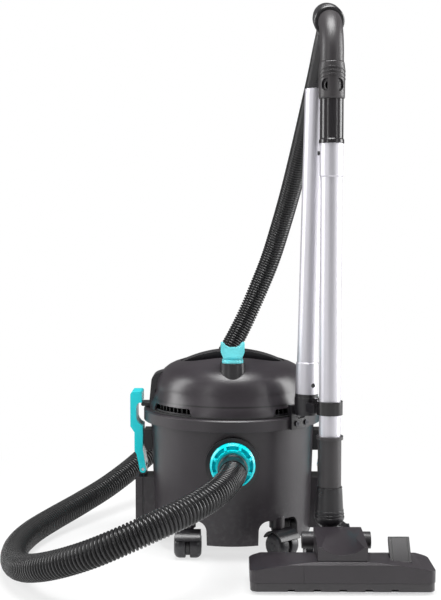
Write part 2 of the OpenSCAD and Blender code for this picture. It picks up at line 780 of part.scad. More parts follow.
module motor_housing() color("#55585c") in_place() difference() {
    rotate_extrude() polygon([
        [0, fan_case_z], [fan_case_r - 4, fan_case_z], [fan_case_r, fan_case_z + 4],
        [fan_case_r, fan_case_top], [motor_r, fan_case_top + 2], [motor_r, motor_flange_z],
        [motor_flange_r, motor_flange_z], [motor_flange_r, motor_flange_z + 3],
        [motor_r, motor_flange_z + 3], [motor_r, motor_top - 3], [motor_r - 3, motor_top], [0, motor_top]
    ]);
    // fan chamber, intake eye and motor chamber
    translate([0, 0, fan_case_z + motor_wall])
        cylinder(r = fan_case_r - motor_wall, h = fan_case_top - fan_case_z - 2 * motor_wall);
    translate([0, 0, fan_case_z - 1]) cylinder(r = 20, h = 10);
    translate([0, 0, armature_z - 2]) cylinder(r = motor_r - motor_wall, h = motor_top - 3 - armature_z);
    // bearings, air passages and outlet windows
    translate([0, 0, fan_case_z + 5]) cylinder(r = shaft_r + run_fit, h = motor_top - 2 - fan_case_z - 5, $fn = 48);
    for (a = [0:60:300]) rotate(a) translate([34, 0, fan_case_top - 6]) cylinder(r = 4, h = 12, $fn = 32);
    for (a = [0:45:315]) rotate(a) translate([motor_r - 8, -6, motor_top - 20]) cube([12, 12, 10]);
}

module motor_stator() color("#8a5a3a") in_place()
    ring(motor_r - motor_wall - seat_gap, motor_r - 18, armature_z, armature_h);

module motor_seal() color("#1a1a1a") in_place()
    ring(motor_flange_r, motor_hole_r + 1, plate_top, seal_t);

module motor_shaft() color(colour_metal) in_place() {
    translate([0, 0, fan_case_z + 8]) cylinder(r = shaft_r, h = motor_top - 2.5 - fan_case_z - 8, $fn = 48);
    translate([0, 0, armature_z + 1]) cylinder(r = motor_r - 19, h = armature_h - 2);
}

module fan_impeller() color("#b9bcc0") in_place() translate([0, 0, fan_case_z + 9]) {
    difference() {
        union() {
            cylinder(r = 9, h = 14);
            translate([0, 0, 11]) cylinder(r = fan_case_r - 8, h = 1.5);
            ring(fan_case_r - 8, 17, 0, 1.5);
            for (a = [0:40:320]) rotate(a) rotate_extrude(angle = 3) translate([8, 1])
                square([fan_case_r - 17, 10.5]);
        }
        translate([0, 0, -1]) cylinder(r = shaft_r + 0.01, h = 20, $fn = 48);
    }
}

module filter_basket() color("#3a3a3c") in_place() {
    difference() {
        union() {
            translate([0, 0, basket_z]) cylinder(r = basket_r, h = seam_z - 2 - basket_z);
            translate([0, 0, seam_z - 2.5]) cylinder(r = lid_r - 30, h = 2.5);
        }
        translate([0, 0, basket_z + 2]) cylinder(r = basket_r - 2, h = 100);
        for (a = [0:30:330]) rotate(a) translate([basket_r - 10, -14, basket_z + 12]) cube([20, 28, 26]);
        for (a = [0:45:315]) rotate(a) translate([26, -5, basket_z - 1]) cube([50, 10, 5]);
    }
}

module cloth_filter() color("#d9d4c7") in_place() difference() {
    translate([0, 0, basket_z - 2.3]) cylinder(r = basket_r + 2.3, h = rim_z - 4 - basket_z);
    translate([0, 0, basket_z - face_gap]) cylinder(r = basket_r + face_gap, h = 100);
}

module exhaust_filter() color("#cfd2d6") in_place()
    ring(motor_flange_r + foam_clear + foam_w, motor_flange_r + foam_clear, plate_top + seat_gap, 20);

module mains_inlet() color(colour_black) in_place() translate([0, 0, mains_z]) rotate([-90, 0, 0]) {
    difference() {
        union() {
            translate([0, 0, lid_r - 24]) cylinder(r = mains_r - run_fit, h = 20);
            difference() {
                translate([0, 0, lid_r - 20]) cylinder(r = mains_r + 3, h = 14);
                rotate([90, 0, 0]) translate([0, 0, -mains_z]) lid_form(-seat_gap);
            }
        }
        translate([0, 0, lid_r - 20]) cylinder(r = mains_r - 3, h = 40);
    }
    for (a = [90, 210, 330]) rotate(a) translate([4.5, 0, lid_r - 21]) cylinder(r = 1.2, h = 12, $fn = 24);
}

module at_switch() {
    translate([0, switch_y, dome_top(switch_y)]) rotate([-asin(switch_y / dome_r), 0, 0]) children();
}

module switch_bezel() color(colour_black) in_place() at_switch() difference() {
    union() {
        translate([-11 + seat_gap, -16 + seat_gap, -16]) cube([22 - 2 * seat_gap, 32 - 2 * seat_gap, 17]);
        translate([-14, -19, seat_gap]) cube([28, 38, 2.4]);
    }
    translate([-8, -12, -14]) cube([16, 24, 30]);
    translate([0, 0, -1]) rotate([0, 90, 0]) cylinder(r = 2, h = 24, center = true, $fn = 32);
}

// A rocker that rests tipped to one side
module power_switch() color("#a02020") in_place() at_switch()
    translate([0, 0, -1]) rotate([-switch_tip, 0, 0]) {
        rotate([0, 90, 0]) linear_extrude(15.4, center = true) polygon(concat(
            [[-5, -9.8], [5, -4], [5, 4], [-5, 9.8]],
            arc(-23.5, 0, 20.6, 28, -28, 6)
        ));
        rotate([0, 90, 0]) cylinder(r = 2 - run_fit, h = 21, center = true, $fn = 32);
    }

// ---- Latches ----

// Side outline of a latch: a bowed lever from its pin up to the hook
module latch_outline() {
    polygon(concat(
        arc(latch_pin_x, latch_pin_z, latch_eye_r, 170, 370, 8),
        [
            [latch_pin_x + 10, 144], [latch_pin_x + 13.5, 150], [latch_pin_x + 13.5, 180], [latch_out, 190], [latch_out, latch_top_z - 4],
            [latch_out - 3, latch_top_z], [latch_hook_x + 2, latch_top_z],
            [latch_hook_x, latch_top_z - 2], [latch_hook_x, latch_hook_z], [latch_pin_x + 5, latch_hook_z],
            [latch_pin_x + 8, latch_hook_z - 2], [latch_pin_x + 10, latch_hook_z - 6],
            [latch_pin_x + 10, 202], [latch_pin_x + 8, 197], [latch_pin_x + 5, 193],
            [latch_hook_x - 1.2, 190], [latch_hook_x - 1.2, 152], [latch_pin_x - 1, 147]
        ]
    ));
}

module latch() color(colour_teal) difference() {
    rotate([90, 0, 0]) linear_extrude(latch_w, center = true) latch_outline();
    // fork round the tub's lug
    translate([latch_pin_x - 12, -lug_w / 2 - face_gap, latch_pin_z - 20])
        cube([30, lug_w + 2 * face_gap, 20 + 8]);
    // the pin's bore
    translate([latch_pin_x, 0, latch_pin_z]) rotate([90, 0, 0])
        cylinder(r = latch_pin_r + run_fit, h = latch_w + 2, center = true, $fn = 32);
    // finger scoop in the grip
    translate([latch_out + 5, 0, 214]) rotate([90, 0, 0]) cylinder(r = 9, h = latch_w - 14, center = true);
}

module latch_left() in_place() mirror([1, 0, 0]) latch();
module latch_right() in_place() latch();

// ---- Castors ----

module castor() color(colour_black) {
    axle_z = castor_wheel_r;
    difference() {
        union() {
            translate([0, 0, axle_z + castor_wheel_r])
                cylinder(r = stem_r, h = stem_top - axle_z - castor_wheel_r - 1, $fn = 48);
            translate([0, 0, axle_z + castor_wheel_r + 0.6]) cylinder(r = 9, h = 3.6, $fn = 48);
            rotate([90, 0, 90]) linear_extrude(6, center = true) union() {
                translate([-castor_trail, axle_z]) circle(r = castor_wheel_r - 4, $fn = 48);
                polygon([
                    [-castor_trail - 8, axle_z + 8], [-castor_trail, axle_z + castor_wheel_r + 3.5],
                    [9, axle_z + castor_wheel_r + 4], [9, axle_z + 8]
                ]);
            }
            // hood over the wheels
            translate([0, -castor_trail, axle_z]) rotate([90, 0, 90])
                linear_extrude(2 * castor_wheel_w + 4, center = true) difference() {
                    polygon(concat(arc(0, 0, castor_wheel_r + 3.8, 28, 152, 14),
                        arc(0, 0, castor_wheel_r + 1.3, 152, 28, 14)));
                }
        }
        translate([0, -castor_trail, axle_z]) rotate([0, 90, 0])
            cylinder(r = 3 + run_fit, h = 20, center = true, $fn = 32);
    }
}

module castor_wheels() color("#4a4a4c") translate([0, -castor_trail, castor_wheel_r])
    rotate([0, 90, 0]) {
        cylinder(r = 3, h = 10, center = true, $fn = 32);
        for (s = [0, 1]) mirror([0, 0, s]) translate([0, 0, 3.4]) rotate_extrude() polygon(concat(
            [[0, 0], [castor_wheel_r - 1, 0], [castor_wheel_r, 1]],
            arc(castor_wheel_r - 9, castor_wheel_w - 9, 9, 0, 75, 5),
            [[6, castor_wheel_w - 1], [5, castor_wheel_w], [0, castor_wheel_w]]
        ));
    }

module placed_castor(i) in_place() at_castor(i) rotate(castor_turn[i - 1]) castor();
module placed_wheels(i) in_place() at_castor(i) rotate(castor_turn[i - 1]) castor_wheels();
module castor_1() placed_castor(1);
module castor_2() placed_castor(2);
module castor_3() placed_castor(3);
module castor_4() placed_castor(4);
module castor_5() placed_castor(5);
module castor_wheels_1() placed_wheels(1);
module castor_wheels_2() placed_wheels(2);
module castor_wheels_3() placed_wheels(3);
module castor_wheels_4() placed_wheels(4);
module castor_wheels_5() placed_wheels(5);

// ---- Hose end at the tub ----

module inlet_cuff() color(colour_black) in_place() at_inlet() {
    tub_end = -inlet_y - 18;
    rotate_extrude() polygon([
        [cuff_r - 3, tub_end], [cuff_r, tub_end], [cuff_r, -inlet_y + 29.5],
        [cuff_r + 3.5, -inlet_y + 30.5], [cuff_r + 3.5, -inlet_y + 42], [cuff_r + 2.2, -inlet_y + 44],
        [cuff_r + 1.5, -cuff_end], [cuff_r - 3, -cuff_end]
    ]);
}

// ---- Wand ----

// A wand tube with its plain end at z = 0 and its swaged socket at the top
module tube_form() {
    rotate_extrude() polygon([
        [tube_in, 0], [tube_r, 0], [tube_r, tube_len - swage_len - 2], [swage_r, tube_len - swage_len],
        [swage_r, tube_len], [swage_in, tube_len], [swage_in, tube_len - swage_len],
        [tube_in, tube_len - swage_len - 2]
    ]);
}

module button_hole(turn) {
    translate([0, 0, tube_len - 14]) rotate([0, 90, turn])
        cylinder(r = button_r + 0.2, h = 30, $fn = 48);
}

module wand_tube() color("#d0d2d5") in_place() at_wand() translate([0, 0, wand_z]) difference() {
    tube_form();
    button_hole(180);
}

module spare_tube() color("#d0d2d5") in_place() at_spare() translate([0, 0, tube_len])
    mirror([0, 0, 1]) difference() {
        tube_form();
        button_hole(-60);
    }

module neck_tube() color(colour_black) in_place() at_wand() difference() {
    union() {
        translate([0, 0, neck_low]) cylinder(r = neck_r, h = neck_top - neck_low + 5);
        translate([0, 0, neck_top]) cylinder(r = neck_r + 2.5, h = 5);
        translate([0, 0, neck_foot]) cylinder(r = 14, h = neck_low - neck_foot + 1);
        translate([0, 0, neck_foot]) cylinder(r = 15.6, h = 4);
    }
    translate([0, 0, wand_z]) cylinder(r = tube_r + seat_gap, h = 100);
    translate([0, 0, 90]) cylinder(r = 12, h = 100);
}

module grip_tube() color(colour_black) in_place() at_wand() {
    bore = grip_r - grip_wall - 1;
    difference() {
        rotate_extrude() polygon([
            [bore, grip_z - spigot_h], [swage_in - run_fit, grip_z - spigot_h],
            [swage_in - run_fit, grip_z], [grip_r + 1.2, grip_z], [grip_r + 1.2, grip_z + 5],
            [grip_r, grip_z + 7], [grip_r, air_ring_z], [grip_r - 0.8, air_ring_z],
            [grip_r - 0.8, air_ring_z + air_ring_h], [grip_r, air_ring_z + air_ring_h],
            [grip_r, bend_z], [bore, bend_z]
        ]);
        // hole of the snap button and the air-bleed port
        translate([0, 0, button_z]) rotate([0, -90, 0]) cylinder(r = button_r + 0.2, h = 30, $fn = 48);
        translate([0, 0, air_ring_z + 19]) rotate([90, 0, -15]) cylinder(r = 7, h = 30);
    }
    translate([0, grip_bend_r, bend_z]) rotate([90, 0, -90])
        rotate_extrude(angle = grip_turn) translate([grip_bend_r, 0]) difference() {
            circle(r = grip_r);
            circle(r = bore);
        }
    // the spigot that the hose cuff turns on
    translate([0, bend_end_y, bend_end_z]) rotate([-grip_turn, 0, 0])
        ring(cuff_seat_r, bore + 0.4, -3, cuff_hold + 3);
}

module wand_button() color(colour_black) in_place() at_wand() translate([0, 0, button_z])
    rotate([0, -90, 0]) {
        translate([0, 0, swage_in - 4.6]) cylinder(r = button_r, h = 4.6 + tube_wall + 1.6, $fn = 48);
        translate([0, 0, swage_in + tube_wall + 1.6]) rotate_extrude($fn = 48) polygon(concat(
            [[0, 0]], arc(button_r - 1.6, 0, 1.6, 0, 90, 4), [[0, 1.6]]));
    }

// The ring that opens and shuts the air bleed
module air_ring() color(colour_black) in_place() at_wand() translate([0, 0, air_ring_z + face_gap]) {
    h = air_ring_h - 2 * face_gap;
    difference() {
        union() {
            rotate_extrude() polygon([
                [grip_r - 0.8 + run_fit, 0], [grip_r + 0.6, 0], [grip_r + 1.8, 2],
                [grip_r + 2.2, h - 12], [grip_r + 0.8, h - 1], [grip_r, h], [grip_r - 0.8 + run_fit, h]
            ]);
            // arched thumb ridges
            for (k = [0:2]) intersection() {
                translate([0, 0, 25 + 5.5 * k]) rotate([-24, 0, 0]) ring(grip_r + 6, grip_r - 3, -0.9, 1.8);
                translate([-30, -40, 0]) cube([60, 34, h - 2]);
                ring(grip_r + 2.9, grip_r, 0, h);
            }
        }
        for (s = [-1, 1]) rotate([0, 0, s * 26]) translate([0, 0, 19]) rotate([90, 0, 0])
            intersection() {
                cylinder(r = 9.5, h = 40);
                translate([s > 0 ? -1 : -9, -20, 0]) cube([10, 40, 40]);
            }
    }
}

module hose_cuff() color(colour_black) in_place() at_cuff() translate([0, 0, cuff_gap]) {
        difference() {
            rotate_extrude() polygon([
                [cuff_seat_r + run_fit, 0], [hand_cuff_r - 1.5, 0], [hand_cuff_r, 2], [hand_cuff_r, 10],
                [hand_cuff_r - 1, 11], [hand_cuff_r - 1, 14], [hand_cuff_r, 15],
                [hand_cuff_r - 0.5, cuff_len - 22], [hose_r + 0.5, cuff_len], [hose_r - 3, cuff_len],
                [hose_r - 3, cuff_hold], [cuff_seat_r + run_fit, cuff_hold - 4]
            ]);
            for (a = [0:30:330]) rotate(a) translate([hand_cuff_r + 0.6, 0, 18])
                cylinder(r = 1.4, h = 18, $fn = 24);
        }
}

// ---- Floor head ----

// Swivel collar and the ball-ended barrel that the head tilts on
module neck_collar() color(colour_black) in_place() at_head() difference() {
    union() {
        translate([-head_shift, 0, 0]) rotate_extrude() polygon([
            [14 + run_fit, 92], [21, 92], [19.5, 120], [19, neck_low - face_gap], [14 + run_fit, neck_low - face_gap]
        ]);
        translate([-head_shift, 0, 0]) rotate_extrude() polygon([
            [12, 66], [20.5, 74], [22.6, 80], [22.6, 82.5], [21.4, 83], [21.4, 84.5], [22.2, 85],
            [22.2, 87], [21, 87.5], [21, 89], [21.8, 89.5], [21.5, 92.5], [15.6 + run_fit, 92.5], [12, 92.5]
        ]);
        hull() {
            translate([-head_shift * 0.6, 0, 66]) cylinder(r = 16, h = 9, $fn = 32);
            translate([0, barrel_y, neck_z]) rotate([0, 90, 0])
                cylinder(r = barrel_r - 3, h = barrel_w - 6, center = true, $fn = 32);
        }
        // ribs of the barrel
        for (x = [-18:6:18]) translate([x, barrel_y, neck_z]) rotate([0, 90, 0])
            cylinder(r = barrel_r - 0.8, h = 3, center = true);
    }
    translate([-head_shift, 0, 95.9]) cylinder(r = 15.6 + run_fit, h = 4.2);
    translate([-head_shift, 0, 70]) cylinder(r = 12, h = 60);
    translate([0, barrel_y, neck_z]) rotate([0, 90, 0])
        cylinder(r = tilt_pin_r + run_fit, h = 80, center = true, $fn = 48);
    hull() {
        translate([-head_shift, 0, 69]) cylinder(r = 9, h = 2, $fn = 32);
        translate([0, 0, neck_z]) cylinder(r = 9, h = 2, $fn = 32);
    }
}

module head_outline(g = 0) {
    back = head_back - corner_r;
    points = [
        [-corner_x, -corner_y], [corner_x, -corner_y], [corner_x, back - 8],
        [corner_x - 22, back], [22 - corner_x, back], [-corner_x, back - 8]
    ];
    hull() for (p = points) translate(p) circle(r = corner_r - g, $fn = 32);
}

// Side profile of the head, front to back, for an inset g
module head_section(g = 0) {
    polygon([
        [head_y + g, sole_z - 1], [head_y + 1.5 + g, head_h - 4], [head_y + 5 + g, head_h - g],
        [head_y + 42, head_h + 1 - g], [head_back - 6 - g / 2, head_h - 9 - g],
        [head_back - g, head_h - 16], [head_back - g, sole_z - 1]
    ]);
}

module head_form(g = 0) {
    crown_r = pow(corner_x, 2) / (2 * head_drop);
    intersection() {
        translate([0, 0, sole_z - 1]) linear_extrude(60) head_outline(g);
        rotate([90, 0, 90]) linear_extrude(head_w, center = true) head_section(g);
        translate([0, 0, head_h + 1 - g - crown_r]) rotate([90, 0, 0])
            cylinder(r = crown_r, h = 400, center = true, $fn = 240);
    }
}

// Slots on both sides of the mouth that the brush strips slide in
module brush_slots(top) {
    for (y = [mouth_y - 7, mouth_y + mouth_d + 3])
        translate([-mouth_w / 2, y, 0]) cube([mouth_w, 4, top]);
}

// Lower housing: air duct, arms for the tilt pins and the rear wheels, the pedal's posts
module head_body() color(colour_black) in_place() at_head() {
    each_side() {
        translate([barrel_w / 2 - 10, barrel_y, neck_z]) rotate([0, 90, 0])
            cylinder(r = tilt_pin_r, h = 12, $fn = 48);
        translate([arm_x + 3, barrel_y, neck_z]) rotate([0, 90, 0])
            cylinder(r = 12.5, h = hub_x - arm_x - 3);
    }
    translate([pedal_x - pedal_w / 2 - 3, pedal_y, pedal_z]) rotate([0, 90, 0])
        cylinder(r = pedal_pin_r, h = pedal_w + 6, $fn = 32);
    difference() {
        union() {
            intersection() {
                head_form(1);
                translate([-200, -200, sole_z]) cube([400, 400, split_z - sole_z]);
            }
            for (x = [-pedal_w / 2 - 5, pedal_w / 2 + 1]) translate([pedal_x + x, pedal_y - 5, sole_z + 2])
                cube([4, 10, pedal_z + 4 - sole_z - 2]);
            for (s = [-1, 1]) {
                hull() {
                    translate([s * arm_x, barrel_y, neck_z]) rotate([0, 90, 0])
                        cylinder(r = 13, h = 8, center = true, $fn = 32);
                    translate([s * arm_x - 4, head_back - 30, 8]) cube([8, 24, 9]);
                }
                hull() {
                    translate([s * arm_x, head_wheel_y, head_wheel_r]) rotate([0, 90, 0])
                        cylinder(r = 7, h = 8, center = true, $fn = 32);
                    translate([s * arm_x - 4, head_back - 24, 7]) cube([8, 24, 10]);
                }
            }
        }
        // suction mouth and duct
        translate([-mouth_w / 2, mouth_y, 0]) cube([mouth_w, mouth_d, split_z - 4]);
        translate([-14, mouth_y + 4, 8]) cube([28, head_back - mouth_y, split_z - 6]);
        // notches that let crumbs in under the front edge
        for (k = [-2:2]) translate([36 * k - 5, head_y - 1, 0]) cube([10, 8, sole_z + 3]);
        translate([-barrel_w / 2 - face_gap, barrel_y, neck_z]) rotate([0, 90, 0])
            cylinder(r = barrel_r + 1, h = barrel_w + 2 * face_gap);
        each_side() translate([barrel_w / 2, head_wheel_y, head_wheel_r]) rotate([0, 90, 0])
            cylinder(r = 3, h = 20, $fn = 48);
        brush_slots(brush_top + brush_rise + 0.6);
    }
}

module head_cover() color(colour_shell) in_place() at_head() difference() {
    intersection() {
        head_form();
        translate([-200, -200, split_z + seat_gap]) cube([400, 400, 60]);
    }
    difference() {
        head_form(head_wall);
        translate([-300, -300, 0]) cube([600, 600, split_z]);
    }
    // room for the neck saddle and the pedal
    translate([-saddle_w / 2 - seat_gap, saddle_y, split_z - 1])
        cube([saddle_w + 2 * seat_gap, head_d, 60]);
    translate([pedal_x - pedal_w / 2 - face_gap, pedal_y - 14, split_z - 1])
        cube([pedal_w + 2 * face_gap, 31, 60]);
    // seam between the cover's two mouldings
    translate([-54.8, head_y - 1, split_z]) cube([0.6, 2.6, 60]);
}

// Side outline of the neck saddle, drawn in by g
module saddle_outline(g = 0) {
    low = split_z + seat_gap - 2 * g;
    back = barrel_y - 16 + g;
    polygon([
        [saddle_y + seat_gap + g, low], [saddle_y + seat_gap + g, saddle_lip_z - g],
        [barrel_y - 28, saddle_top - g], [back, saddle_top - g], [back, low]
    ]);
}

// The hollow of the saddle's top, deepest at the front lip
module saddle_scoop(g = 0) {
    run = barrel_y - 28 - saddle_y;
    translate([0, barrel_y - 28, saddle_top - g]) rotate([atan2(saddle_scoop_rise, run), 0, 0])
        translate([0, 20, scoop_r]) rotate([90, 0, 0]) cylinder(r = scoop_r, h = run + 60, $fn = 160);
}

// The sloping housing over the neck's duct
module neck_saddle() color(colour_shell) in_place() at_head() difference() {
    rotate([90, 0, 90]) linear_extrude(saddle_w, center = true) saddle_outline();
    difference() {
        rotate([90, 0, 90]) linear_extrude(saddle_w - 6, center = true) saddle_outline(3);
        translate([0, 0, -3]) saddle_scoop();
    }
    saddle_scoop();
    translate([0, barrel_y, neck_z]) rotate([0, 90, 0])
        cylinder(r = barrel_r + 0.4, h = 100, center = true);
}

module sole_plate() color(colour_metal) in_place() at_head() difference() {
    translate([0, 0, 2]) linear_extrude(sole_z - 2) head_outline(3);
    translate([-mouth_w / 2, mouth_y, 0]) cube([mouth_w, mouth_d, 20]);
    brush_slots(20);
}

// A slanted foot pedal that rocks on a pin in its lower end
module head_pedal() color(colour_black) in_place() at_head()
    translate([pedal_x, pedal_y, pedal_z]) rotate([90, 0, 90]) difference() {
        union() {
            linear_extrude(pedal_w, center = true)
                polygon([[-9, 3], [18, 36], [20, 37.2], [22, 37.2], [24.2, 35.5], [24.2, 31], [3, 1], [-1, -5]]);
            cylinder(r = 5.2, h = pedal_w, center = true);
            translate([-6.6, 7.6, 0]) cylinder(r = 2.4, h = pedal_w, center = true, $fn = 32);
        }
        cylinder(r = pedal_pin_r + run_fit, h = pedal_w + 2, center = true, $fn = 32);
    }

module brush_strips() color("#3b3b3b") in_place() at_head()
    for (y = [mouth_y - 7, mouth_y + mouth_d + 3])
        translate([-mouth_w / 2 + 0.5, y + 0.4, brush_low]) cube([mouth_w - 1, 3.2, brush_top - brush_low]);

module head_wheel(s) color(colour_black) at_head()
    translate([s * (barrel_w / 2 + 9 + face_gap), head_wheel_y, head_wheel_r]) rotate([0, s * 90, 0]) {
        rotate_extrude() polygon([
            [0, 0], [head_wheel_r - 1.5, 0], [head_wheel_r, 1.5], [head_wheel_r, head_wheel_w - 3],
            [head_wheel_r - 3, head_wheel_w], [0, head_wheel_w]
        ]);
        translate([0, 0, -9]) cylinder(r = 3 - run_fit, h = 10, $fn = 48);
    }
module head_wheel_left() in_place() head_wheel(-1);
module head_wheel_right() in_place() head_wheel(1);

tub_shell();
latch_pads();
latch_pins();
inlet_flange();
inlet_ring();
inlet_seal();
castor_sockets();
dust_bag();
bag_collar();
parking_bracket();
bracket_screws();
hose();
lid_shell();
carry_handle();
cradle_post();
cradle_fork();
lid_base();
lid_gasket();
lid_screws();
motor_housing();
motor_stator();
motor_seal();
filter_basket();
cloth_filter();
exhaust_filter();
mains_inlet();
switch_bezel();
motor_shaft();
fan_impeller();
power_switch();
latch_left();
latch_right();
castor_1();
castor_2();
castor_3();
castor_4();
castor_5();
castor_wheels_1();
castor_wheels_2();
castor_wheels_3();
castor_wheels_4();
castor_wheels_5();
inlet_cuff();
wand_tube();
neck_tube();
grip_tube();
wand_button();
air_ring();
hose_cuff();
wand_hanger();
spare_tube();
neck_collar();
head_body();
head_cover();
neck_saddle();
sole_plate();
head_pedal();
brush_strips();
head_wheel_left();
head_wheel_right();
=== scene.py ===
# %% [markdown]
# # A tub vacuum cleaner, dressed in Blender
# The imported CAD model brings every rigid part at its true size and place. This lesson adds what CAD
# leaves out: finishes for each moulded, drawn or pressed part, the ribbed hose, bristles, a paper bag,
# a cloth filter and the small marks that moulding and use leave behind.

# %% Load the frame
import math

import bmesh
import bpy
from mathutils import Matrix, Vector


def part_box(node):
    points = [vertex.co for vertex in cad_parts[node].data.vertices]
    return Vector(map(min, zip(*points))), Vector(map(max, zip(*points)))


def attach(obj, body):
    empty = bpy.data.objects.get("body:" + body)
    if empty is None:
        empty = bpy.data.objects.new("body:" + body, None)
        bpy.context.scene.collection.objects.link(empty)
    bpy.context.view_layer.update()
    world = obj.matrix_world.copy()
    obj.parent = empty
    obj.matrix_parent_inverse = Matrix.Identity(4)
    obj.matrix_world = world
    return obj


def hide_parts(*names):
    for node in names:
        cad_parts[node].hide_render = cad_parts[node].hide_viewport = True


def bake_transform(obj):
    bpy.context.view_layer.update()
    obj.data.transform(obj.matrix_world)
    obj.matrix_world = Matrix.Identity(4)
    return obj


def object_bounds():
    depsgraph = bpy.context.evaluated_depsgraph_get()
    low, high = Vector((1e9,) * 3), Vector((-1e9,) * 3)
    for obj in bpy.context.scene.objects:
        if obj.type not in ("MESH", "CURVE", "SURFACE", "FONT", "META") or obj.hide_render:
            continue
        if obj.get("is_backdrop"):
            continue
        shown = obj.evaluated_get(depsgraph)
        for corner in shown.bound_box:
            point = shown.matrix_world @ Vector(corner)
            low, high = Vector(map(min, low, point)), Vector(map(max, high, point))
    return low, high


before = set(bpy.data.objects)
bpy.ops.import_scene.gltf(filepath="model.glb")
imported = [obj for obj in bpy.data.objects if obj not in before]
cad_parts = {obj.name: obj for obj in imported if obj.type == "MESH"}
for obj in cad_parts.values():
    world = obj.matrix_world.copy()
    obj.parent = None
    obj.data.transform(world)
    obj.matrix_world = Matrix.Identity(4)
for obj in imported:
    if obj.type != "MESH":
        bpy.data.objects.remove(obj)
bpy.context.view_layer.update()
scene = bpy.context.scene

# %% [markdown]
# Places are given in metres, measured from the tub's own axis on the floor. `at` moves a point from
# there to the shared frame, whose origin lies under the middle of the whole machine.

# %% Shared places
TUB = Vector((-0.058758, 0.070499, 0.0))


def at(x, y, z):
    return Vector((x, y, z)) + TUB


print("tub axis at", tuple(TUB))

# %% [markdown]
# ## Smooth skins on the CAD parts
# A turned or moulded skin arrives as narrow bands, one for each step of its outline, and each band keeps
# its own normals, so light breaks at every step. The meshes themselves are never edited, so a small
# geometry node group does it as a modifier: it merges the bands, drops their stored normals and keeps an
# edge sharp only where its two faces meet at more than 28 degrees.

# %% Smoothing group
CREASE = math.radians(28)
WELD = 0.00002
smoothing = bpy.data.node_groups.new("smooth_by_crease", "GeometryNodeTree")
smoothing.interface.new_socket("Geometry", in_out="INPUT", socket_type="NodeSocketGeometry")
smoothing.interface.new_socket("Geometry", in_out="OUTPUT", socket_type="NodeSocketGeometry")


def group_node(kind, **settings):
    made = smoothing.nodes.new(kind)
    for key, value in settings.items():
        setattr(made, key, value)
    return made


angle = group_node("GeometryNodeInputMeshEdgeAngle")
shallow = group_node("FunctionNodeCompare", data_type="FLOAT", operation="LESS_THAN")
shallow.inputs[1].default_value = CREASE
chain = [
    group_node("NodeGroupInput"),
    group_node("GeometryNodeMergeByDistance"),
    group_node("GeometryNodeRemoveAttribute"),
    group_node("GeometryNodeSetShadeSmooth", domain="FACE"),
    group_node("GeometryNodeSetShadeSmooth", domain="EDGE"),
    group_node("NodeGroupOutput"),
]
for giver, taker in zip(chain, chain[1:]):
    smoothing.links.new(giver.outputs[0], taker.inputs[0])
chain[1].inputs["Distance"].default_value = WELD
chain[2].inputs["Name"].default_value = "custom_normal"
smoothing.links.new(angle.outputs["Unsigned Angle"], shallow.inputs[0])
smoothing.links.new(shallow.outputs[0], chain[4].inputs["Shade Smooth"])
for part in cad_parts.values():
    part.modifiers.new("smooth_by_crease", "NODES").node_group = smoothing
print("smoothed parts:", len(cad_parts))

# %% [markdown]
# ## Camera
# A machine of this height shows well from about a metre and three quarters away, half a metre up and
# tilted slightly down. A rather long lens keeps its uprights nearly parallel, and a slight turn to the
# left keeps the wand and the hose in the frame together.

# %% Camera
SENSOR_MM, LENS_MM = 36, 64.956
EYE = (-0.004, -1.7644, 0.5025)
DOWN_DEGREES, LEFT_DEGREES = 3.505, 0.508
lens = bpy.data.cameras.new("studio_camera")
camera = bpy.data.objects.new("studio_camera", lens)
scene.collection.objects.link(camera)
scene.camera = camera
lens.sensor_width = SENSOR_MM
lens.lens = LENS_MM
lens.clip_end = 60
camera.location = at(*EYE)
camera.rotation_euler = (math.radians(90 - DOWN_DEGREES), 0, math.radians(LEFT_DEGREES))
print("camera at", [round(v, 3) for v in camera.location], "lens", round(lens.lens, 1), "mm")

# %% [markdown]
# ## Hose
# The suction hose is a flexible tube with ribs round it. It leaves the turning cuff at the front of the
# tub, drops to the floor on the left, passes behind the tub and climbs to the hand grip. It is one
# smooth line first: the same route points as in the CAD source, joined by a spline. The ribs follow
# later, swept along that line, because a displacement map would look flat on the outline.

# %% Hose line
HOSE_R = 0.020
CUFF_RUN = 0.06
SPLINE_STEPS = 12
hose_route = [
    (0, -0.203724, 0.152), (-0.015, -0.261, 0.145), (-0.045, -0.307, 0.134), (-0.087, -0.339, 0.120),
    (-0.136, -0.354, 0.101), (-0.186, -0.352, 0.079), (-0.234, -0.330, 0.058), (-0.276, -0.292, 0.040),
    (-0.307, -0.241, 0.027), (-0.326, -0.181, 0.021), (-0.332, -0.115, 0.021), (-0.322, -0.047, 0.023),
    (-0.298, 0.020, 0.027), (-0.263, 0.086, 0.036), (-0.221, 0.150, 0.052), (-0.176, 0.213, 0.078),
    (-0.130, 0.272, 0.114), (-0.087, 0.326, 0.157), (-0.046, 0.372, 0.208), (-0.009, 0.406, 0.264),
    (0.024, 0.425, 0.325), (0.052, 0.428, 0.388), (0.077, 0.416, 0.452), (0.096, 0.391, 0.516),
    (0.112, 0.355, 0.578), (0.125, 0.312, 0.637), (0.136, 0.265, 0.692), (0.145, 0.214, 0.741),
    (0.152, 0.161, 0.782), (0.156, 0.106, 0.814), (0.158, 0.049, 0.835), (0.155, -0.008, 0.843),
    (0.144016, -0.065915, 0.837958),
]
GRIP_TURN = math.radians(72)
inlet_way = Vector((0, -1, 0))
grip_way = Vector((0, -math.sin(GRIP_TURN), -math.cos(GRIP_TURN)))


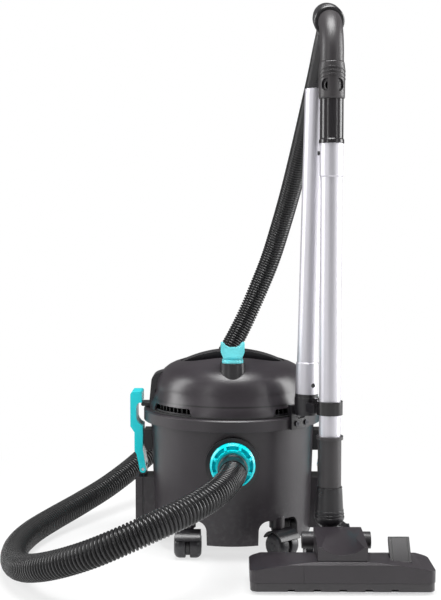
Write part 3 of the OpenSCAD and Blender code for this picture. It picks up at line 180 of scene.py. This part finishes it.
def smooth_line(points, first_way, last_way, steps):
    """A Catmull-Rom spline that leaves and enters its cuffs straight, the same as in the CAD source."""
    knots = [points[0] - CUFF_RUN * first_way, *points, points[-1] + CUFF_RUN * last_way]
    line = []
    for a, b, c, d in zip(knots, knots[1:], knots[2:], knots[3:]):
        for s in range(steps):
            t = s / steps
            line.append(0.5 * ((2 * b) + (c - a) * t + (2 * a - 5 * b + 4 * c - d) * t * t
                               + (3 * b - a - 3 * c + d) * t ** 3))
    return line + [points[-1]]


hose_line = smooth_line([at(*p) for p in hose_route], inlet_way, grip_way, SPLINE_STEPS)
hose_length = sum((b - a).length for a, b in zip(hose_line, hose_line[1:]))
print("hose points:", len(hose_line), "length:", round(hose_length, 3), "m")

# %% [markdown]
# ## Materials as expressions
# A node tree is easier to read as arithmetic. `Wire` wraps one socket, and each operator adds a Math
# node. `Finish` holds one material: `node` adds any other node and gives back one of its
# outputs, the first unless another is asked for.

# %% Wire and Finish


class Wire:
    def __init__(self, tree, socket):
        self.tree, self.socket = tree, socket

    def math(self, operation, *others, swap=False):
        step = self.tree.nodes.new("ShaderNodeMath")
        step.operation = operation
        terms = [self, *others][::-1] if swap else [self, *others]
        for slot, term in zip(step.inputs, terms):
            if isinstance(term, Wire):
                self.tree.links.new(term.socket, slot)
            else:
                slot.default_value = term
        return Wire(self.tree, step.outputs[0])

    def __add__(self, other):
        return self.math("ADD", other)

    def __sub__(self, other):
        return self.math("SUBTRACT", other)

    def __rsub__(self, other):
        return self.math("SUBTRACT", other, swap=True)

    def __mul__(self, other):
        return self.math("MULTIPLY", other)

    def __truediv__(self, other):
        return self.math("DIVIDE", other)

    def power(self, other):
        return self.math("POWER", other)

    def ramp(self, low, high):
        """0 below low and 1 above high, with a smooth turn between them."""
        step = self.tree.nodes.new("ShaderNodeMapRange")
        step.interpolation_type = "SMOOTHSTEP"
        self.tree.links.new(self.socket, step.inputs["Value"])
        step.inputs["From Min"].default_value = low
        step.inputs["From Max"].default_value = high
        return Wire(self.tree, step.outputs["Result"])

    __radd__ = __add__
    __rmul__ = __mul__


class Finish:
    def __init__(self, name, colour, roughness, metallic=0.0):
        self.material = bpy.data.materials.new(name)
        self.material.use_nodes = True
        self.tree = self.material.node_tree
        self.shader = self.tree.nodes["Principled BSDF"]
        self.set("Base Color", (*colour, 1))
        self.set("Roughness", roughness)
        self.set("Metallic", metallic)
        self.place = self.node("ShaderNodeTexCoord", output="Object")

    def set(self, socket, value):
        slot = self.shader.inputs[socket]
        if isinstance(value, Wire):
            self.tree.links.new(value.socket, slot)
        else:
            slot.default_value = value

    def node(self, kind, settings=None, inputs=None, output=0):
        made = self.tree.nodes.new(kind)
        for key, value in (settings or {}).items():
            setattr(made, key, value)
        for key, value in (inputs or {}).items():
            if isinstance(value, Wire):
                self.tree.links.new(value.socket, made.inputs[key])
            else:
                made.inputs[key].default_value = value
        return Wire(self.tree, made.outputs[output])

    def axes(self, place=None):
        split = self.node("ShaderNodeSeparateXYZ", inputs={0: place or self.place})
        return [Wire(self.tree, out) for out in split.socket.node.outputs]

    def stretched(self, *scale):
        return self.node("ShaderNodeVectorMath", {"operation": "MULTIPLY"}, {0: self.place, 1: scale})

    def noise(self, scale, detail=3.0, place=None, rough=0.55):
        return self.node("ShaderNodeTexNoise", inputs={
            "Vector": place or self.place, "Scale": scale, "Detail": detail, "Roughness": rough})

    def cells(self, scale, place=None, feature="F1"):
        return self.node("ShaderNodeTexVoronoi", {"feature": feature},
                         {"Vector": place or self.place, "Scale": scale})

    def mix(self, share, first, second):
        """A colour between two, each a link or a tuple."""
        step = self.tree.nodes.new("ShaderNodeMix")
        step.data_type = "RGBA"
        for slot, value in ((step.inputs[0], share), (step.inputs[6], first), (step.inputs[7], second)):
            if isinstance(value, Wire):
                self.tree.links.new(value.socket, slot)
            else:
                slot.default_value = (*value, 1) if isinstance(value, tuple) else value
        return Wire(self.tree, step.outputs[2])

    def bump(self, *layers, edge=0.0):
        """Each layer is a height link and its depth in metres. edge rounds the corners of a part."""
        normal = None
        if edge:
            normal = self.node("ShaderNodeBevel", {"samples": 6}, {"Radius": edge})
        for height, depth in layers:
            inputs = {"Height": height, "Distance": depth, "Strength": 1.0}
            if normal:
                inputs["Normal"] = normal
            normal = self.node("ShaderNodeBump", inputs=inputs)
        self.set("Normal", normal)


def dress(finish, *names):
    """Gives the finish to CAD parts, by assigning their material slots."""
    for name in names:
        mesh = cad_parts[name].data
        mesh.materials.clear()
        mesh.materials.append(finish.material)


print("ready to write finishes")

# %% [markdown]
# ## Charcoal tub plastic
# The tub is a polypropylene moulding with a spark-eroded skin: a fine pebble that scatters light, so
# the surface looks dry. Voronoi cells of under a millimetre give that pebble as bump, and a wide noise
# shifts the roughness a little, as handling does. Low on the skirt, dust and scuffs lighten the colour.

# %% Tub plastic


def moulded(name, colour, roughness, pebble=1500.0, depth=0.00003, edge=0.0007, dusty=0.0):
    """A moulded plastic skin: pebble, slow variation, fine scratches and, if dusty, a scuffed foot."""
    finish = Finish(name, colour, roughness)
    slow = finish.noise(14, 4)
    fine = finish.noise(160, 2)
    scratch = finish.noise(60, 5, finish.stretched(1, 1, 7)).ramp(0.68, 0.76)
    darker, lighter = (tuple(c * share for c in colour) for share in (0.86, 1.12))
    shade = finish.mix(slow.ramp(0.3, 0.7), darker, lighter)
    pale = tuple(0.6 * c + 0.06 for c in colour)
    if dusty:
        low = 1 - finish.axes()[2].ramp(0.02, 0.13)
        shade = finish.mix(low * fine.ramp(0.42, 0.75) * dusty, shade, pale)
    finish.set("Base Color", finish.mix(scratch * 0.16, shade, pale))
    finish.set("Roughness", slow.ramp(0.25, 0.75) * 0.06 + (roughness - 0.03) + scratch * 0.08)
    finish.bump((finish.cells(pebble), depth), (fine, depth * 1.5), edge=edge)
    return finish


tub_plastic = moulded("tub_plastic", (0.024, 0.020, 0.024), 0.38, 1300, 0.00004, dusty=0.35)
dress(tub_plastic, "tub_shell")
lid_plastic = moulded("lid_plastic", (0.026, 0.022, 0.026), 0.32, 1700, 0.00003)
dress(lid_plastic, "lid_shell", "head_cover", "neck_saddle")
black_plastic = moulded("black_plastic", (0.011, 0.010, 0.012), 0.30, 2000, 0.00002)
dress(black_plastic, "latch_pads", "inlet_flange", "parking_bracket", "carry_handle", "cradle_post",
      "lid_base", "filter_basket", "mains_inlet", "switch_bezel", "hose_cuff", "inlet_cuff",
      "neck_collar", "wand_button", *[f"castor_{i}" for i in range(1, 6)])
gloss_black = moulded("gloss_black", (0.010, 0.009, 0.010), 0.17, 2400, 0.000006)
dress(gloss_black, "wand_hanger")
grip_plastic = moulded("grip_plastic", (0.030, 0.027, 0.029), 0.42, 2000, 0.00003)
dress(grip_plastic, "air_ring", "neck_tube")
head_plastic = moulded("head_plastic", (0.036, 0.033, 0.036), 0.40, 2000, 0.00003, edge=0.0018)
motor_plastic = moulded("motor_plastic", (0.10, 0.10, 0.105), 0.45, 1200, 0.00004)
dress(motor_plastic, "motor_housing")
print("moulded finishes:", [f.material.name for f in (tub_plastic, lid_plastic, black_plastic)])

# %% [markdown]
# The space behind the exhaust slots looks nearly black, because hardly any light gets in. What shows
# through them is the part of the lid inside a given radius and under a given height, so a mask of those
# two darkens the colour there and leaves the rest of the moulding as it is.

# %% Dark behind the slots
SLOT_BACK_R = (0.1305, 0.1315)
SLOT_TOP = (0.238, 0.240)
x, y, z = lid_plastic.axes()
reach = ((x - TUB.x).power(2) + (y - TUB.y).power(2)).power(0.5)
behind = (1 - reach.ramp(*SLOT_BACK_R)) * (1 - z.ramp(*SLOT_TOP))
lid_colour = Wire(lid_plastic.tree, lid_plastic.shader.inputs["Base Color"].links[0].from_socket)
lid_plastic.set("Base Color", lid_plastic.mix(behind, lid_colour, (0.004, 0.004, 0.004)))
print("dark behind the slots, inside radius:", SLOT_BACK_R[0], "under height:", SLOT_TOP[0])

# %% [markdown]
# The grip is one moulding with two skins: the bent handle is matt for the hand, and the straight sleeve
# under the air ring is polished. A mix along Z, at the ring's foot, tells them apart. The head carries
# two more marks of its mould that are too fine for CAD: a framed groove on the pedal and a knurled patch
# beside it. Each is a height pattern inside a rectangle of Object coordinates, and the pedal's groove is
# also darkened in colour as painted shade.

# %% Grip, pedal and head
grip_skin = moulded("grip_skin", (0.030, 0.027, 0.029), 0.42, 2000, 0.00002)
ring_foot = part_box("air_ring")[0].z
upper = grip_skin.axes()[2].ramp(ring_foot - 0.001, ring_foot + 0.001)
grip_haze = grip_skin.noise(14, 4)
grip_skin.set("Base Color", grip_skin.mix(upper, (0.018, 0.016, 0.018), (0.030, 0.027, 0.029)))
grip_skin.set("Roughness", upper * 0.20 + grip_haze * 0.06 + 0.18)
dress(grip_skin, "grip_tube")


def window(finish, low, high, soft=0.0003):
    """1 inside a rectangle of X and Y, 0 outside it."""
    x, y, _ = finish.axes()
    return (x.ramp(low[0], low[0] + soft) * (1 - x.ramp(high[0] - soft, high[0]))
            * y.ramp(low[1], low[1] + soft) * (1 - y.ramp(high[1] - soft, high[1])))


pedal_low, pedal_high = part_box("head_pedal")
pedal_skin = moulded("pedal_skin", (0.022, 0.020, 0.022), 0.50, 2000, 0.00003, edge=0.0009)


def inside_pedal(in_x, in_y):
    """1 on the pedal's top, this far in from its edges."""
    return window(pedal_skin, (pedal_low.x + in_x, pedal_low.y + in_y),
                  (pedal_high.x - in_x, pedal_high.y - in_y))


frame_line = inside_pedal(0.0030, 0.0035) - inside_pedal(0.0044, 0.0049)
# The frame line's near-black colour is painted shade in the pedal's groove.
pedal_skin.set("Base Color", pedal_skin.mix(frame_line, (0.022, 0.020, 0.022), (0.006, 0.006, 0.006)))
pedal_skin.bump((1 - frame_line, 0.0006), edge=0.0009)
dress(pedal_skin, "head_pedal")
x, y, _ = head_plastic.axes()
KNURL = 2600
knobs = ((x * KNURL).math("SINE") * (y * KNURL).math("SINE")).ramp(-0.2, 0.6)
knurl = knobs * window(head_plastic, (pedal_low.x - 0.030, pedal_low.y + 0.004),
                       (pedal_low.x - 0.006, pedal_low.y + 0.018))
head_plastic.bump((knurl, 0.0006), (head_plastic.cells(2000), 0.00003), edge=0.0018)
dress(head_plastic, "head_body")
print("marked finishes: 3")

# %% [markdown]
# ## Coloured plastic
# Latches, inlet ring and cradle fork are moulded in a solid teal. The mould is polished, so the skin
# has hardly any pebble, a lower roughness and a faint flow pattern where the plastic ran in. The fork
# gets a paler copy of the same teal, which is painted light for the top light it catches.

# %% Teal plastic
teal_plastic = moulded("teal_plastic", (0.0, 0.64, 0.71), 0.24, 2400, 0.000008, edge=0.0009)
flow = teal_plastic.noise(22, 3, teal_plastic.stretched(1, 1, 0.3))
teal_plastic.set("Base Color",
                 teal_plastic.mix(flow.ramp(0.25, 0.75), (0.0, 0.61, 0.68), (0.0, 0.69, 0.76)))
dress(teal_plastic, "inlet_ring", "latch_left", "latch_right")
# A paler copy of the teal: painted light on the fork's lit top, not a different plastic.
fork_teal_painted_light = moulded("fork_teal_painted_light", (0.16, 0.74, 0.80), 0.20, 2400, 0.000008, edge=0.0009)
dress(fork_teal_painted_light, "cradle_fork")
switch_red = moulded("switch_red", (0.42, 0.02, 0.02), 0.28, 2400, 0.00001)
dress(switch_red, "power_switch")
print("coloured finishes: 3")

# %% [markdown]
# ## Metals
# The wand is drawn aluminium tube, satin anodised. Drawing leaves fine lines along the tube, which is
# noise stretched some eighty times along Z. Steel pins, screws and the sole plate are smoother,
# the motor's windings are copper, and the bracket's screws are blackened.

# %% Metals


def metal(name, colour, roughness, stretch, depth=0.000004):
    finish = Finish(name, colour, roughness, 1.0)
    lines = finish.noise(900, 3, finish.stretched(*stretch))
    wide = finish.noise(9, 3)
    finish.set("Base Color", finish.mix(lines.ramp(0.3, 0.7), tuple(c * 0.93 for c in colour), colour))
    finish.set("Roughness", lines * 0.12 + wide * 0.08 + (roughness - 0.1))
    finish.bump((lines, depth), edge=0.0004)
    return finish


tube_metal = metal("tube_aluminium", (0.60, 0.59, 0.63), 0.50, (1, 1, 0.012))
dress(tube_metal, "wand_tube", "spare_tube")
steel = metal("steel", (0.60, 0.60, 0.61), 0.30, (1, 1, 1))
dress(steel, "latch_pins", "castor_sockets", "lid_screws", "motor_shaft", "fan_impeller")
sole_steel = metal("sole_steel", (0.62, 0.62, 0.63), 0.33, (0.02, 1, 1))
dress(sole_steel, "sole_plate")
copper = metal("winding_copper", (0.75, 0.33, 0.17), 0.35, (1, 1, 0.05))
dress(copper, "motor_stator")
dark_steel = metal("dark_steel", (0.06, 0.06, 0.065), 0.36, (1, 1, 1))
dress(dark_steel, "bracket_screws")
print("metals: 5")

# %% [markdown]
# ## Rubber, wheels and card
# Seals are matt rubber, the wheels are a hard plastic that picks up dust near the floor, and the bag's
# collar is plain brown card. All three are moulded or pressed skins, so the same helper makes them.

# %% Rubber and wheels
rubber = moulded("seal_rubber", (0.018, 0.018, 0.018), 0.62, 900, 0.00004)
dress(rubber, "inlet_seal", "lid_gasket", "motor_seal")
wheel_plastic = moulded("wheel_plastic", (0.022, 0.021, 0.024), 0.30, 2000, 0.00002, dusty=0.3)
dress(wheel_plastic, *[f"castor_wheels_{i}" for i in range(1, 6)],
      "head_wheel_left", "head_wheel_right")
card = moulded("collar_card", (0.50, 0.34, 0.18), 0.8, 700, 0.00006)
dress(card, "bag_collar")
print("rubber, wheels and card: 3")

# %% [markdown]
# ## Ribbed hose
# The hose wall is a thin plastic bellows. Seen from outside it is a row of rounded ribs five and a half
# millimetres apart with deep grooves between them. Six rings of points for each rib, swept along the
# line, give that outline. The rings are turned with the line, so the tube doesn't twist. The bands in
# the grooves get a finish of their own, darker and matt, because no light reaches them.

# %% Swept hose
RIB = 0.0055
HOSE_SIDES = 20
hose_rib = [(0.00, HOSE_R - 0.0034), (0.13, HOSE_R - 0.0032), (0.26, HOSE_R - 0.0008), (0.42, HOSE_R),
            (0.68, HOSE_R), (0.86, HOSE_R - 0.0008)]
GROOVE_BANDS = (0, 1, 2, 5)


def along(line, distances):
    """Points and directions at distances along a line."""
    found, walked, i = [], 0.0, 0
    for want in distances:
        while i < len(line) - 2 and walked + (line[i + 1] - line[i]).length < want:
            walked += (line[i + 1] - line[i]).length
            i += 1
        step = line[i + 1] - line[i]
        found.append((line[i] + step.normalized() * (want - walked), step.normalized()))
    return found


def swept(name, line, profile, sides):
    """A tube along a line: profile is a list of (distance, radius)."""
    shape = bmesh.new()
    side = Vector((0, 0, 1))
    rings = []
    for (point, ahead), (_, radius) in zip(along(line, [d for d, _ in profile]), profile):
        side = (side - ahead * side.dot(ahead)).normalized()
        up = ahead.cross(side)
        turn = [2 * math.pi * k / sides for k in range(sides)]
        rings.append([shape.verts.new(point + (side * math.cos(a) + up * math.sin(a)) * radius)
                      for a in turn])
    for low, high in zip(rings, rings[1:]):
        for k in range(sides):
            shape.faces.new((low[k], low[(k + 1) % sides], high[(k + 1) % sides], high[k]))
    shape.faces.new(rings[0][::-1])
    shape.faces.new(rings[-1])
    mesh = bpy.data.meshes.new(name)
    shape.to_mesh(mesh)
    shape.free()
    piece = bpy.data.objects.new(name, mesh)
    scene.collection.objects.link(piece)
    mesh.shade_smooth()
    return piece


ribs = int(hose_length / RIB)
hose_profile = [(RIB * (i + share), radius) for i in range(ribs) for share, radius in hose_rib]
hose = swept("ribbed_hose", hose_line, hose_profile, HOSE_SIDES)
hose_plastic = Finish("hose_plastic", (0.010, 0.010, 0.011), 0.2)
hose_haze = hose_plastic.noise(30, 4)
hose_plastic.set("Roughness", hose_haze * 0.14 + 0.14)
hose_plastic.set("Base Color", hose_plastic.mix(
    hose_haze.ramp(0.4, 0.8), (0.008, 0.008, 0.009), (0.016, 0.015, 0.017)))
hose_plastic.bump((hose_plastic.noise(700, 2), 0.00002))
hose.data.materials.append(hose_plastic.material)
groove_plastic = Finish("hose_groove", (0.002, 0.002, 0.0022), 0.6)
groove_plastic.set("Roughness", groove_plastic.noise(30, 4) * 0.2 + 0.55)
hose.data.materials.append(groove_plastic.material)
for face in hose.data.polygons[:-2]:
    face.material_index = int(face.index // HOSE_SIDES % len(hose_rib) in GROOVE_BANDS)
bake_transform(hose)
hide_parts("hose")
print("hose ribs:", ribs, "faces:", len(hose.data.polygons))

# %% [markdown]
# ## Helpers for hand modelling
# The next pieces are modelled with Blender's own operators. An operator works on everything that is
# selected, so `start` clears the selection first, and `settle` puts a finished piece's place into its
# mesh, so that patterns on Object coordinates stay where they are.

# %% Start and settle


def start(adder, name, **settings):
    """Adds one primitive with nothing else selected, and names it."""
    bpy.ops.object.select_all(action="DESELECT")
    adder(**settings)
    bpy.context.object.name = name
    return bpy.context.object


def modified(piece, kind, **settings):
    """Adds a modifier, sets it and applies it."""
    step = piece.modifiers.new(kind.lower(), kind)
    for key, value in settings.items():
        setattr(step, key, value)
    bpy.context.view_layer.objects.active = piece
    bpy.ops.object.modifier_apply(modifier=step.name)


def merged(pieces):
    bpy.ops.object.select_all(action="DESELECT")
    for piece in pieces:
        piece.select_set(True)
    bpy.context.view_layer.objects.active = pieces[0]
    bpy.ops.object.join()
    return pieces[0]


def settle(piece, finish, body, slot, *stood_for):
    bpy.ops.object.select_all(action="DESELECT")
    piece.select_set(True)
    bpy.context.view_layer.objects.active = piece
    bpy.ops.object.transform_apply(location=True, rotation=True, scale=True)
    piece.data.materials.clear()
    piece.data.materials.append(finish.material)
    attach(piece, body)
    if stood_for:
        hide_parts(*stood_for)
    print(piece.name, "faces:", len(piece.data.polygons),
          "size:", [round(v, 3) for v in piece.dimensions])


def clouds(name, size):
    texture = bpy.data.textures.new(name, "CLOUDS")
    texture.noise_scale, texture.noise_depth = size, 2
    return texture


print("modelling helpers ready")

# %% [markdown]
# ## Fleece dust bag
# The bag lies on the tub's floor as a slack pillow, and its card collar holds it on the inlet. It is a
# flattened ball and a flat spout, melted into one skin by a voxel remesh, then crumpled by a cloud
# texture. A welded seam runs round it, which is a thin ring with a wavy edge.

# %% Dust bag
BAG_R, BAG_SQUASH = 0.116, 0.235
SPOUT = (0.054, 0.009, 0.080)
low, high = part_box("dust_bag")
bag_middle = Vector(((low.x + high.x) / 2, (low.y + high.y) / 2, low.z + 0.030))
bag = start(bpy.ops.mesh.primitive_uv_sphere_add, "fleece_bag", segments=72, ring_count=36, radius=BAG_R,
            location=bag_middle)
bpy.ops.transform.resize(value=(1, 1, BAG_SQUASH))
spout = start(bpy.ops.mesh.primitive_cube_add, "spout", size=1, location=at(0, -0.0995, 0.130))
bpy.ops.transform.resize(value=SPOUT)
bag = merged([bag, spout])
bpy.ops.object.transform_apply(location=True, rotation=True, scale=True)
modified(bag, "REMESH", mode="VOXEL", voxel_size=0.003, use_smooth_shade=True)
modified(bag, "SMOOTH", factor=0.6, iterations=6)
modified(bag, "DISPLACE", texture=clouds("crumples", 0.035), strength=0.007, mid_level=0.62,
         texture_coords="GLOBAL")
modified(bag, "DISPLACE", texture=clouds("creases", 0.010), strength=0.0014, mid_level=0.5,
         texture_coords="GLOBAL")
fleece = Finish("bag_paper", (0.80, 0.74, 0.62), 0.85)
fibres = fleece.noise(420, 6, fleece.stretched(1, 2.6, 1))
dots = fleece.cells(300).ramp(0.10, 0.24)
fleece.set("Base Color", fleece.mix(fibres.ramp(0.35, 0.7), (0.74, 0.67, 0.54), (0.84, 0.79, 0.68)))
fleece.set("Roughness", fibres * 0.2 + 0.72)
fleece.bump((fibres, 0.0002), (dots, 0.00015))
settle(bag, fleece, "tub", "bag_paper", "dust_bag")

# %% Welded seam
seam = start(bpy.ops.mesh.primitive_torus_add, "bag_seam", major_segments=160, minor_segments=8,
             major_radius=0.1165, minor_radius=0.0022, location=bag_middle)
bpy.ops.transform.resize(value=(1, 1, 0.35))
bpy.ops.object.transform_apply(location=True, rotation=True, scale=True)
modified(seam, "DISPLACE", texture=clouds("seam_waves", 0.012), strength=0.002, mid_level=0.5,
         direction="Z", texture_coords="GLOBAL")
seam.data.shade_smooth()
settle(seam, fleece, "tub", "bag_paper")

# %% [markdown]
# ## Cloth filter
# A woven cup is pulled over the filter basket and held by its elastic hem. One sheet is enough: a tube
# with a floor, rippled where the hem gathers it, and given a wall of 0.8 mm at the end. The weave is
# two crossed sine waves, which is what warp and weft look like from a little way off.

# %% Cloth cup
CUP_R, CUP_H, CLOTH = 0.0890, 0.0745, 0.0008
THREADS = 2400
low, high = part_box("cloth_filter")
cup = start(bpy.ops.mesh.primitive_cylinder_add, "cloth_cup", vertices=192, radius=CUP_R, depth=CUP_H,
            location=at(0, 0, low.z + 0.0012 + CUP_H / 2))
bpy.ops.object.transform_apply(location=True, rotation=True, scale=True)
cut = bmesh.new()
cut.from_mesh(cup.data)
lid_face = max(cut.faces, key=lambda f: f.calc_center_median().z)
bmesh.ops.delete(cut, geom=[lid_face], context="FACES_ONLY")
floor_face = min(cut.faces, key=lambda f: f.calc_center_median().z)
bmesh.ops.inset_region(cut, faces=[floor_face], thickness=0.004)
walls = [e for e in cut.edges if abs((e.verts[0].co - e.verts[1].co).z) > 0.05]
bmesh.ops.subdivide_edges(cut, edges=walls, cuts=14, use_grid_fill=True)
for v in cut.verts:
    flat = Vector((v.co.x - TUB.x, v.co.y - TUB.y, 0))
    up = (v.co.z - low.z) / CUP_H
    if flat.length > CUP_R - 0.001:
        turn = math.atan2(flat.y, flat.x)
        ripple = 0.0005 * up * math.sin(48 * turn) + 0.0003 * math.sin(17 * turn + 9 * up)
        hem = 0.0005 if up > 0.93 else 0.0
        v.co += flat.normalized() * (ripple + hem)
cut.to_mesh(cup.data)
cut.free()
cup.data.shade_smooth()
modified(cup, "SOLIDIFY", thickness=CLOTH, offset=0)
weave = Finish("filter_cloth", (0.74, 0.71, 0.63), 0.9)
x, y, z = weave.axes()
turns = (y - TUB.y).math("ARCTAN2", x - TUB.x) * (CUP_R * THREADS)
threads = turns.math("SINE") * (z * THREADS).math("SINE")
weave.set("Base Color", weave.mix(threads.ramp(-0.6, 0.6), (0.60, 0.57, 0.49), (0.80, 0.77, 0.70)))
weave.set("Roughness", weave.noise(60) * 0.1 + 0.83)
weave.bump((threads, 0.00012), (weave.noise(500, 4), 0.0001))
settle(cup, weave, "lid", "filter_cloth", "cloth_filter")

# %% [markdown]
# ## Foam exhaust filter
# The air leaves the motor through a ring of open foam. A torus has the right topology, and each point of
# its round section is pushed out to a rounded rectangle, which is a circle in a norm of power six. Cells
# of different sizes, pushed in by bump, make the pores, and the colour is darker in each pore as
# painted shade.

# %% Foam ring
low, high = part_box("exhaust_filter")
motor_low, motor_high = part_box("motor_housing")
outer = (high.x - low.x) / 2 - 0.0006
inner = (motor_high.x - motor_low.x) / 2 + 0.0046
wide, tall, ring_r = (outer - inner) / 2, (high.z - low.z) / 2 - 0.0004, (outer + inner) / 2
foam = start(bpy.ops.mesh.primitive_torus_add, "foam_ring", major_segments=144, minor_segments=48,
             major_radius=ring_r, minor_radius=wide, location=at(0, 0, (low.z + high.z) / 2))
for v in foam.data.vertices:
    out = Vector((v.co.x, v.co.y, 0))
    turn = math.atan2(v.co.z, out.length - ring_r)
    grow = (abs(math.cos(turn) / wide) ** 6 + abs(math.sin(turn) / tall) ** 6) ** (-1 / 6)
    v.co = out.normalized() * (ring_r + grow * math.cos(turn)) + Vector((0, 0, grow * math.sin(turn)))
bpy.ops.object.transform_apply(location=True, rotation=True, scale=True)
modified(foam, "DISPLACE", texture=clouds("foam_unevenness", 0.008), strength=0.0005, mid_level=0.9,
         texture_coords="GLOBAL")
foam.data.shade_smooth()
foam_finish = Finish("filter_foam", (0.30, 0.31, 0.33), 0.95)
pores = foam_finish.cells(900)
# Darker colour towards each cell's middle, where the bump sinks the pore: painted shade.
foam_finish.set("Base Color", foam_finish.mix(
    pores.ramp(0.15, 0.6), (0.12, 0.12, 0.13), (0.42, 0.43, 0.45)))
foam_finish.bump((pores, 0.0006), (foam_finish.noise(300, 4), 0.0002))
settle(foam, foam_finish, "lid", "filter_cloth", "exhaust_filter")

# %% [markdown]
# ## Bristles
# Two strips of stiff nylon stand in the head's mouth. Real strips hold the bristles in tufts. One
# bristle is a thin prism, six of them lean apart in one tuft, and an Array modifier sets the tufts
# along the strip. The rail that holds them is a bar with bevelled edges.

# %% One tuft
low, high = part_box("brush_strips")
TUFTS, BRISTLES = 54, 6
RAIL, END_IN = 0.0032, 0.0022
row_ys = (low.y + RAIL / 2, high.y - RAIL / 2)
rail_z = high.z - RAIL


def tuft(y):
    """Six leaning bristles under the rail at the strip's left end."""
    made = []
    for i in range(BRISTLES):
        turn = i * 2 * math.pi / BRISTLES + 0.4
        lean = Vector((math.cos(turn), math.sin(turn), 0)) * 0.0007
        foot = Vector((low.x + END_IN, y, (rail_z + low.z) / 2)) + lean
        bristle = start(bpy.ops.mesh.primitive_cone_add, "bristle", vertices=5, radius1=0.00030,
                        radius2=0.00042, depth=rail_z - low.z, location=foot)
        bpy.ops.object.mode_set(mode="EDIT")
        bpy.ops.mesh.select_all(action="DESELECT")
        bpy.ops.object.mode_set(mode="OBJECT")
        for v in bristle.data.vertices:
            v.select = v.co.z < 0
        bpy.ops.object.mode_set(mode="EDIT")
        bpy.ops.transform.translate(value=lean * 0.7)
        bpy.ops.object.mode_set(mode="OBJECT")
        made.append(bristle)
    return merged(made)


pieces = []
for y in row_ys:
    row = tuft(y)
    bpy.ops.object.transform_apply(location=True, rotation=True, scale=True)
    modified(row, "ARRAY", count=TUFTS, use_relative_offset=False, use_constant_offset=True,
             constant_offset_displace=((high.x - low.x - 2 * END_IN) / (TUFTS - 1), 0, 0))
    rail = start(bpy.ops.mesh.primitive_cube_add, "rail", size=1,
                 location=((low.x + high.x) / 2, y, (high.z + rail_z) / 2))
    bpy.ops.transform.resize(value=(high.x - low.x, RAIL, high.z - rail_z))
    bpy.ops.object.transform_apply(location=True, rotation=True, scale=True)
    modified(rail, "BEVEL", width=0.0004, segments=2)
    pieces += [row, rail]
bristles = merged(pieces)
bristles.name = "bristle_strips"
nylon = Finish("brush_bristle", (0.030, 0.030, 0.033), 0.42)
sheen = nylon.noise(700, 3)
nylon.set("Base Color",
          nylon.mix(sheen.ramp(0.3, 0.7), (0.020, 0.020, 0.022), (0.055, 0.054, 0.058)))
nylon.set("Roughness", sheen * 0.25 + 0.3)
nylon.bump((sheen, 0.00003))
settle(bristles, nylon, "brushes", "brush_bristle", "brush_strips")

# %% [markdown]
# ## Studio
# The machine stands on a pale floor between soft lamps. To the camera the world is plain white and so is
# the floor away from the machine, while near the machine the floor still takes some of its shadows.
# Glossy skins reflect the floor about half as bright, and the world lights everything only faintly.

# %% Floor
bpy.ops.mesh.primitive_plane_add(size=30, location=(0, 0, 0))
floor = bpy.context.object
floor.name = "studio_floor"
floor_finish = Finish("floor_paint", (0.80, 0.80, 0.80), 0.6)
x, y, _ = floor_finish.axes()
away = (x * x + y * y).power(0.5).ramp(0.25, 0.9)
seen = floor_finish.node("ShaderNodeLightPath", output="Is Camera Ray")
mirrored = floor_finish.node("ShaderNodeLightPath", output="Is Glossy Ray")
glow = floor_finish.node("ShaderNodeEmission", inputs={"Color": (1, 1, 1, 1), "Strength": 1.0})
blend = floor_finish.node("ShaderNodeMixShader", inputs={
    0: (seen + mirrored * 0.55).math("MINIMUM", 1.0) * (away * 0.30 + 0.70),
    1: Wire(floor_finish.tree, floor_finish.shader.outputs[0]), 2: glow})
floor_finish.tree.links.new(blend.socket, floor_finish.tree.nodes["Material Output"].inputs[0])
floor.data.materials.append(floor_finish.material)
floor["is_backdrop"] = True

# %% World and lamps
WORLD_STRENGTH = 0.17
world = bpy.data.worlds.new("studio")
scene.world = world
world.use_nodes = True
tree = world.node_tree
back = tree.nodes["Background"]
back.inputs["Color"].default_value = (1, 1, 1, 1)
back.inputs["Strength"].default_value = WORLD_STRENGTH
white = tree.nodes.new("ShaderNodeBackground")
white.inputs["Color"].default_value = (1, 1, 1, 1)
path = tree.nodes.new("ShaderNodeLightPath")
choose = tree.nodes.new("ShaderNodeMixShader")
tree.links.new(path.outputs["Is Camera Ray"], choose.inputs[0])
tree.links.new(back.outputs[0], choose.inputs[1])
tree.links.new(white.outputs[0], choose.inputs[2])
tree.links.new(choose.outputs[0], tree.nodes["World Output"].inputs[0])


def softbox(name, place, aim, width, height, power):
    data = bpy.data.lights.new(name, "AREA")
    data.shape, data.size, data.size_y, data.energy = "RECTANGLE", width, height, power
    lamp = bpy.data.objects.new(name, data)
    scene.collection.objects.link(lamp)
    lamp.location = place
    lamp.rotation_euler = (Vector(aim) - Vector(place)).to_track_quat("-Z", "Y").to_euler()


softbox("front_left", (-1.25, -1.55, 1.0), (0, 0, 0.4), 0.14, 1.9, 7)
softbox("front_right", (1.45, -1.35, 1.0), (0, 0, 0.4), 0.14, 1.9, 7)
softbox("side_left", (-2.0, 0.1, 1.0), (0, 0, 0.35), 0.6, 1.6, 28)
softbox("side_right", (2.0, 0.2, 0.9), (0, 0, 0.35), 0.9, 1.8, 48)
softbox("top", (0, -0.35, 2.3), (0, 0, 0.2), 1.2, 1.0, 60)
scene.view_settings.view_transform = "Standard"

# %% Finish
low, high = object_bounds()
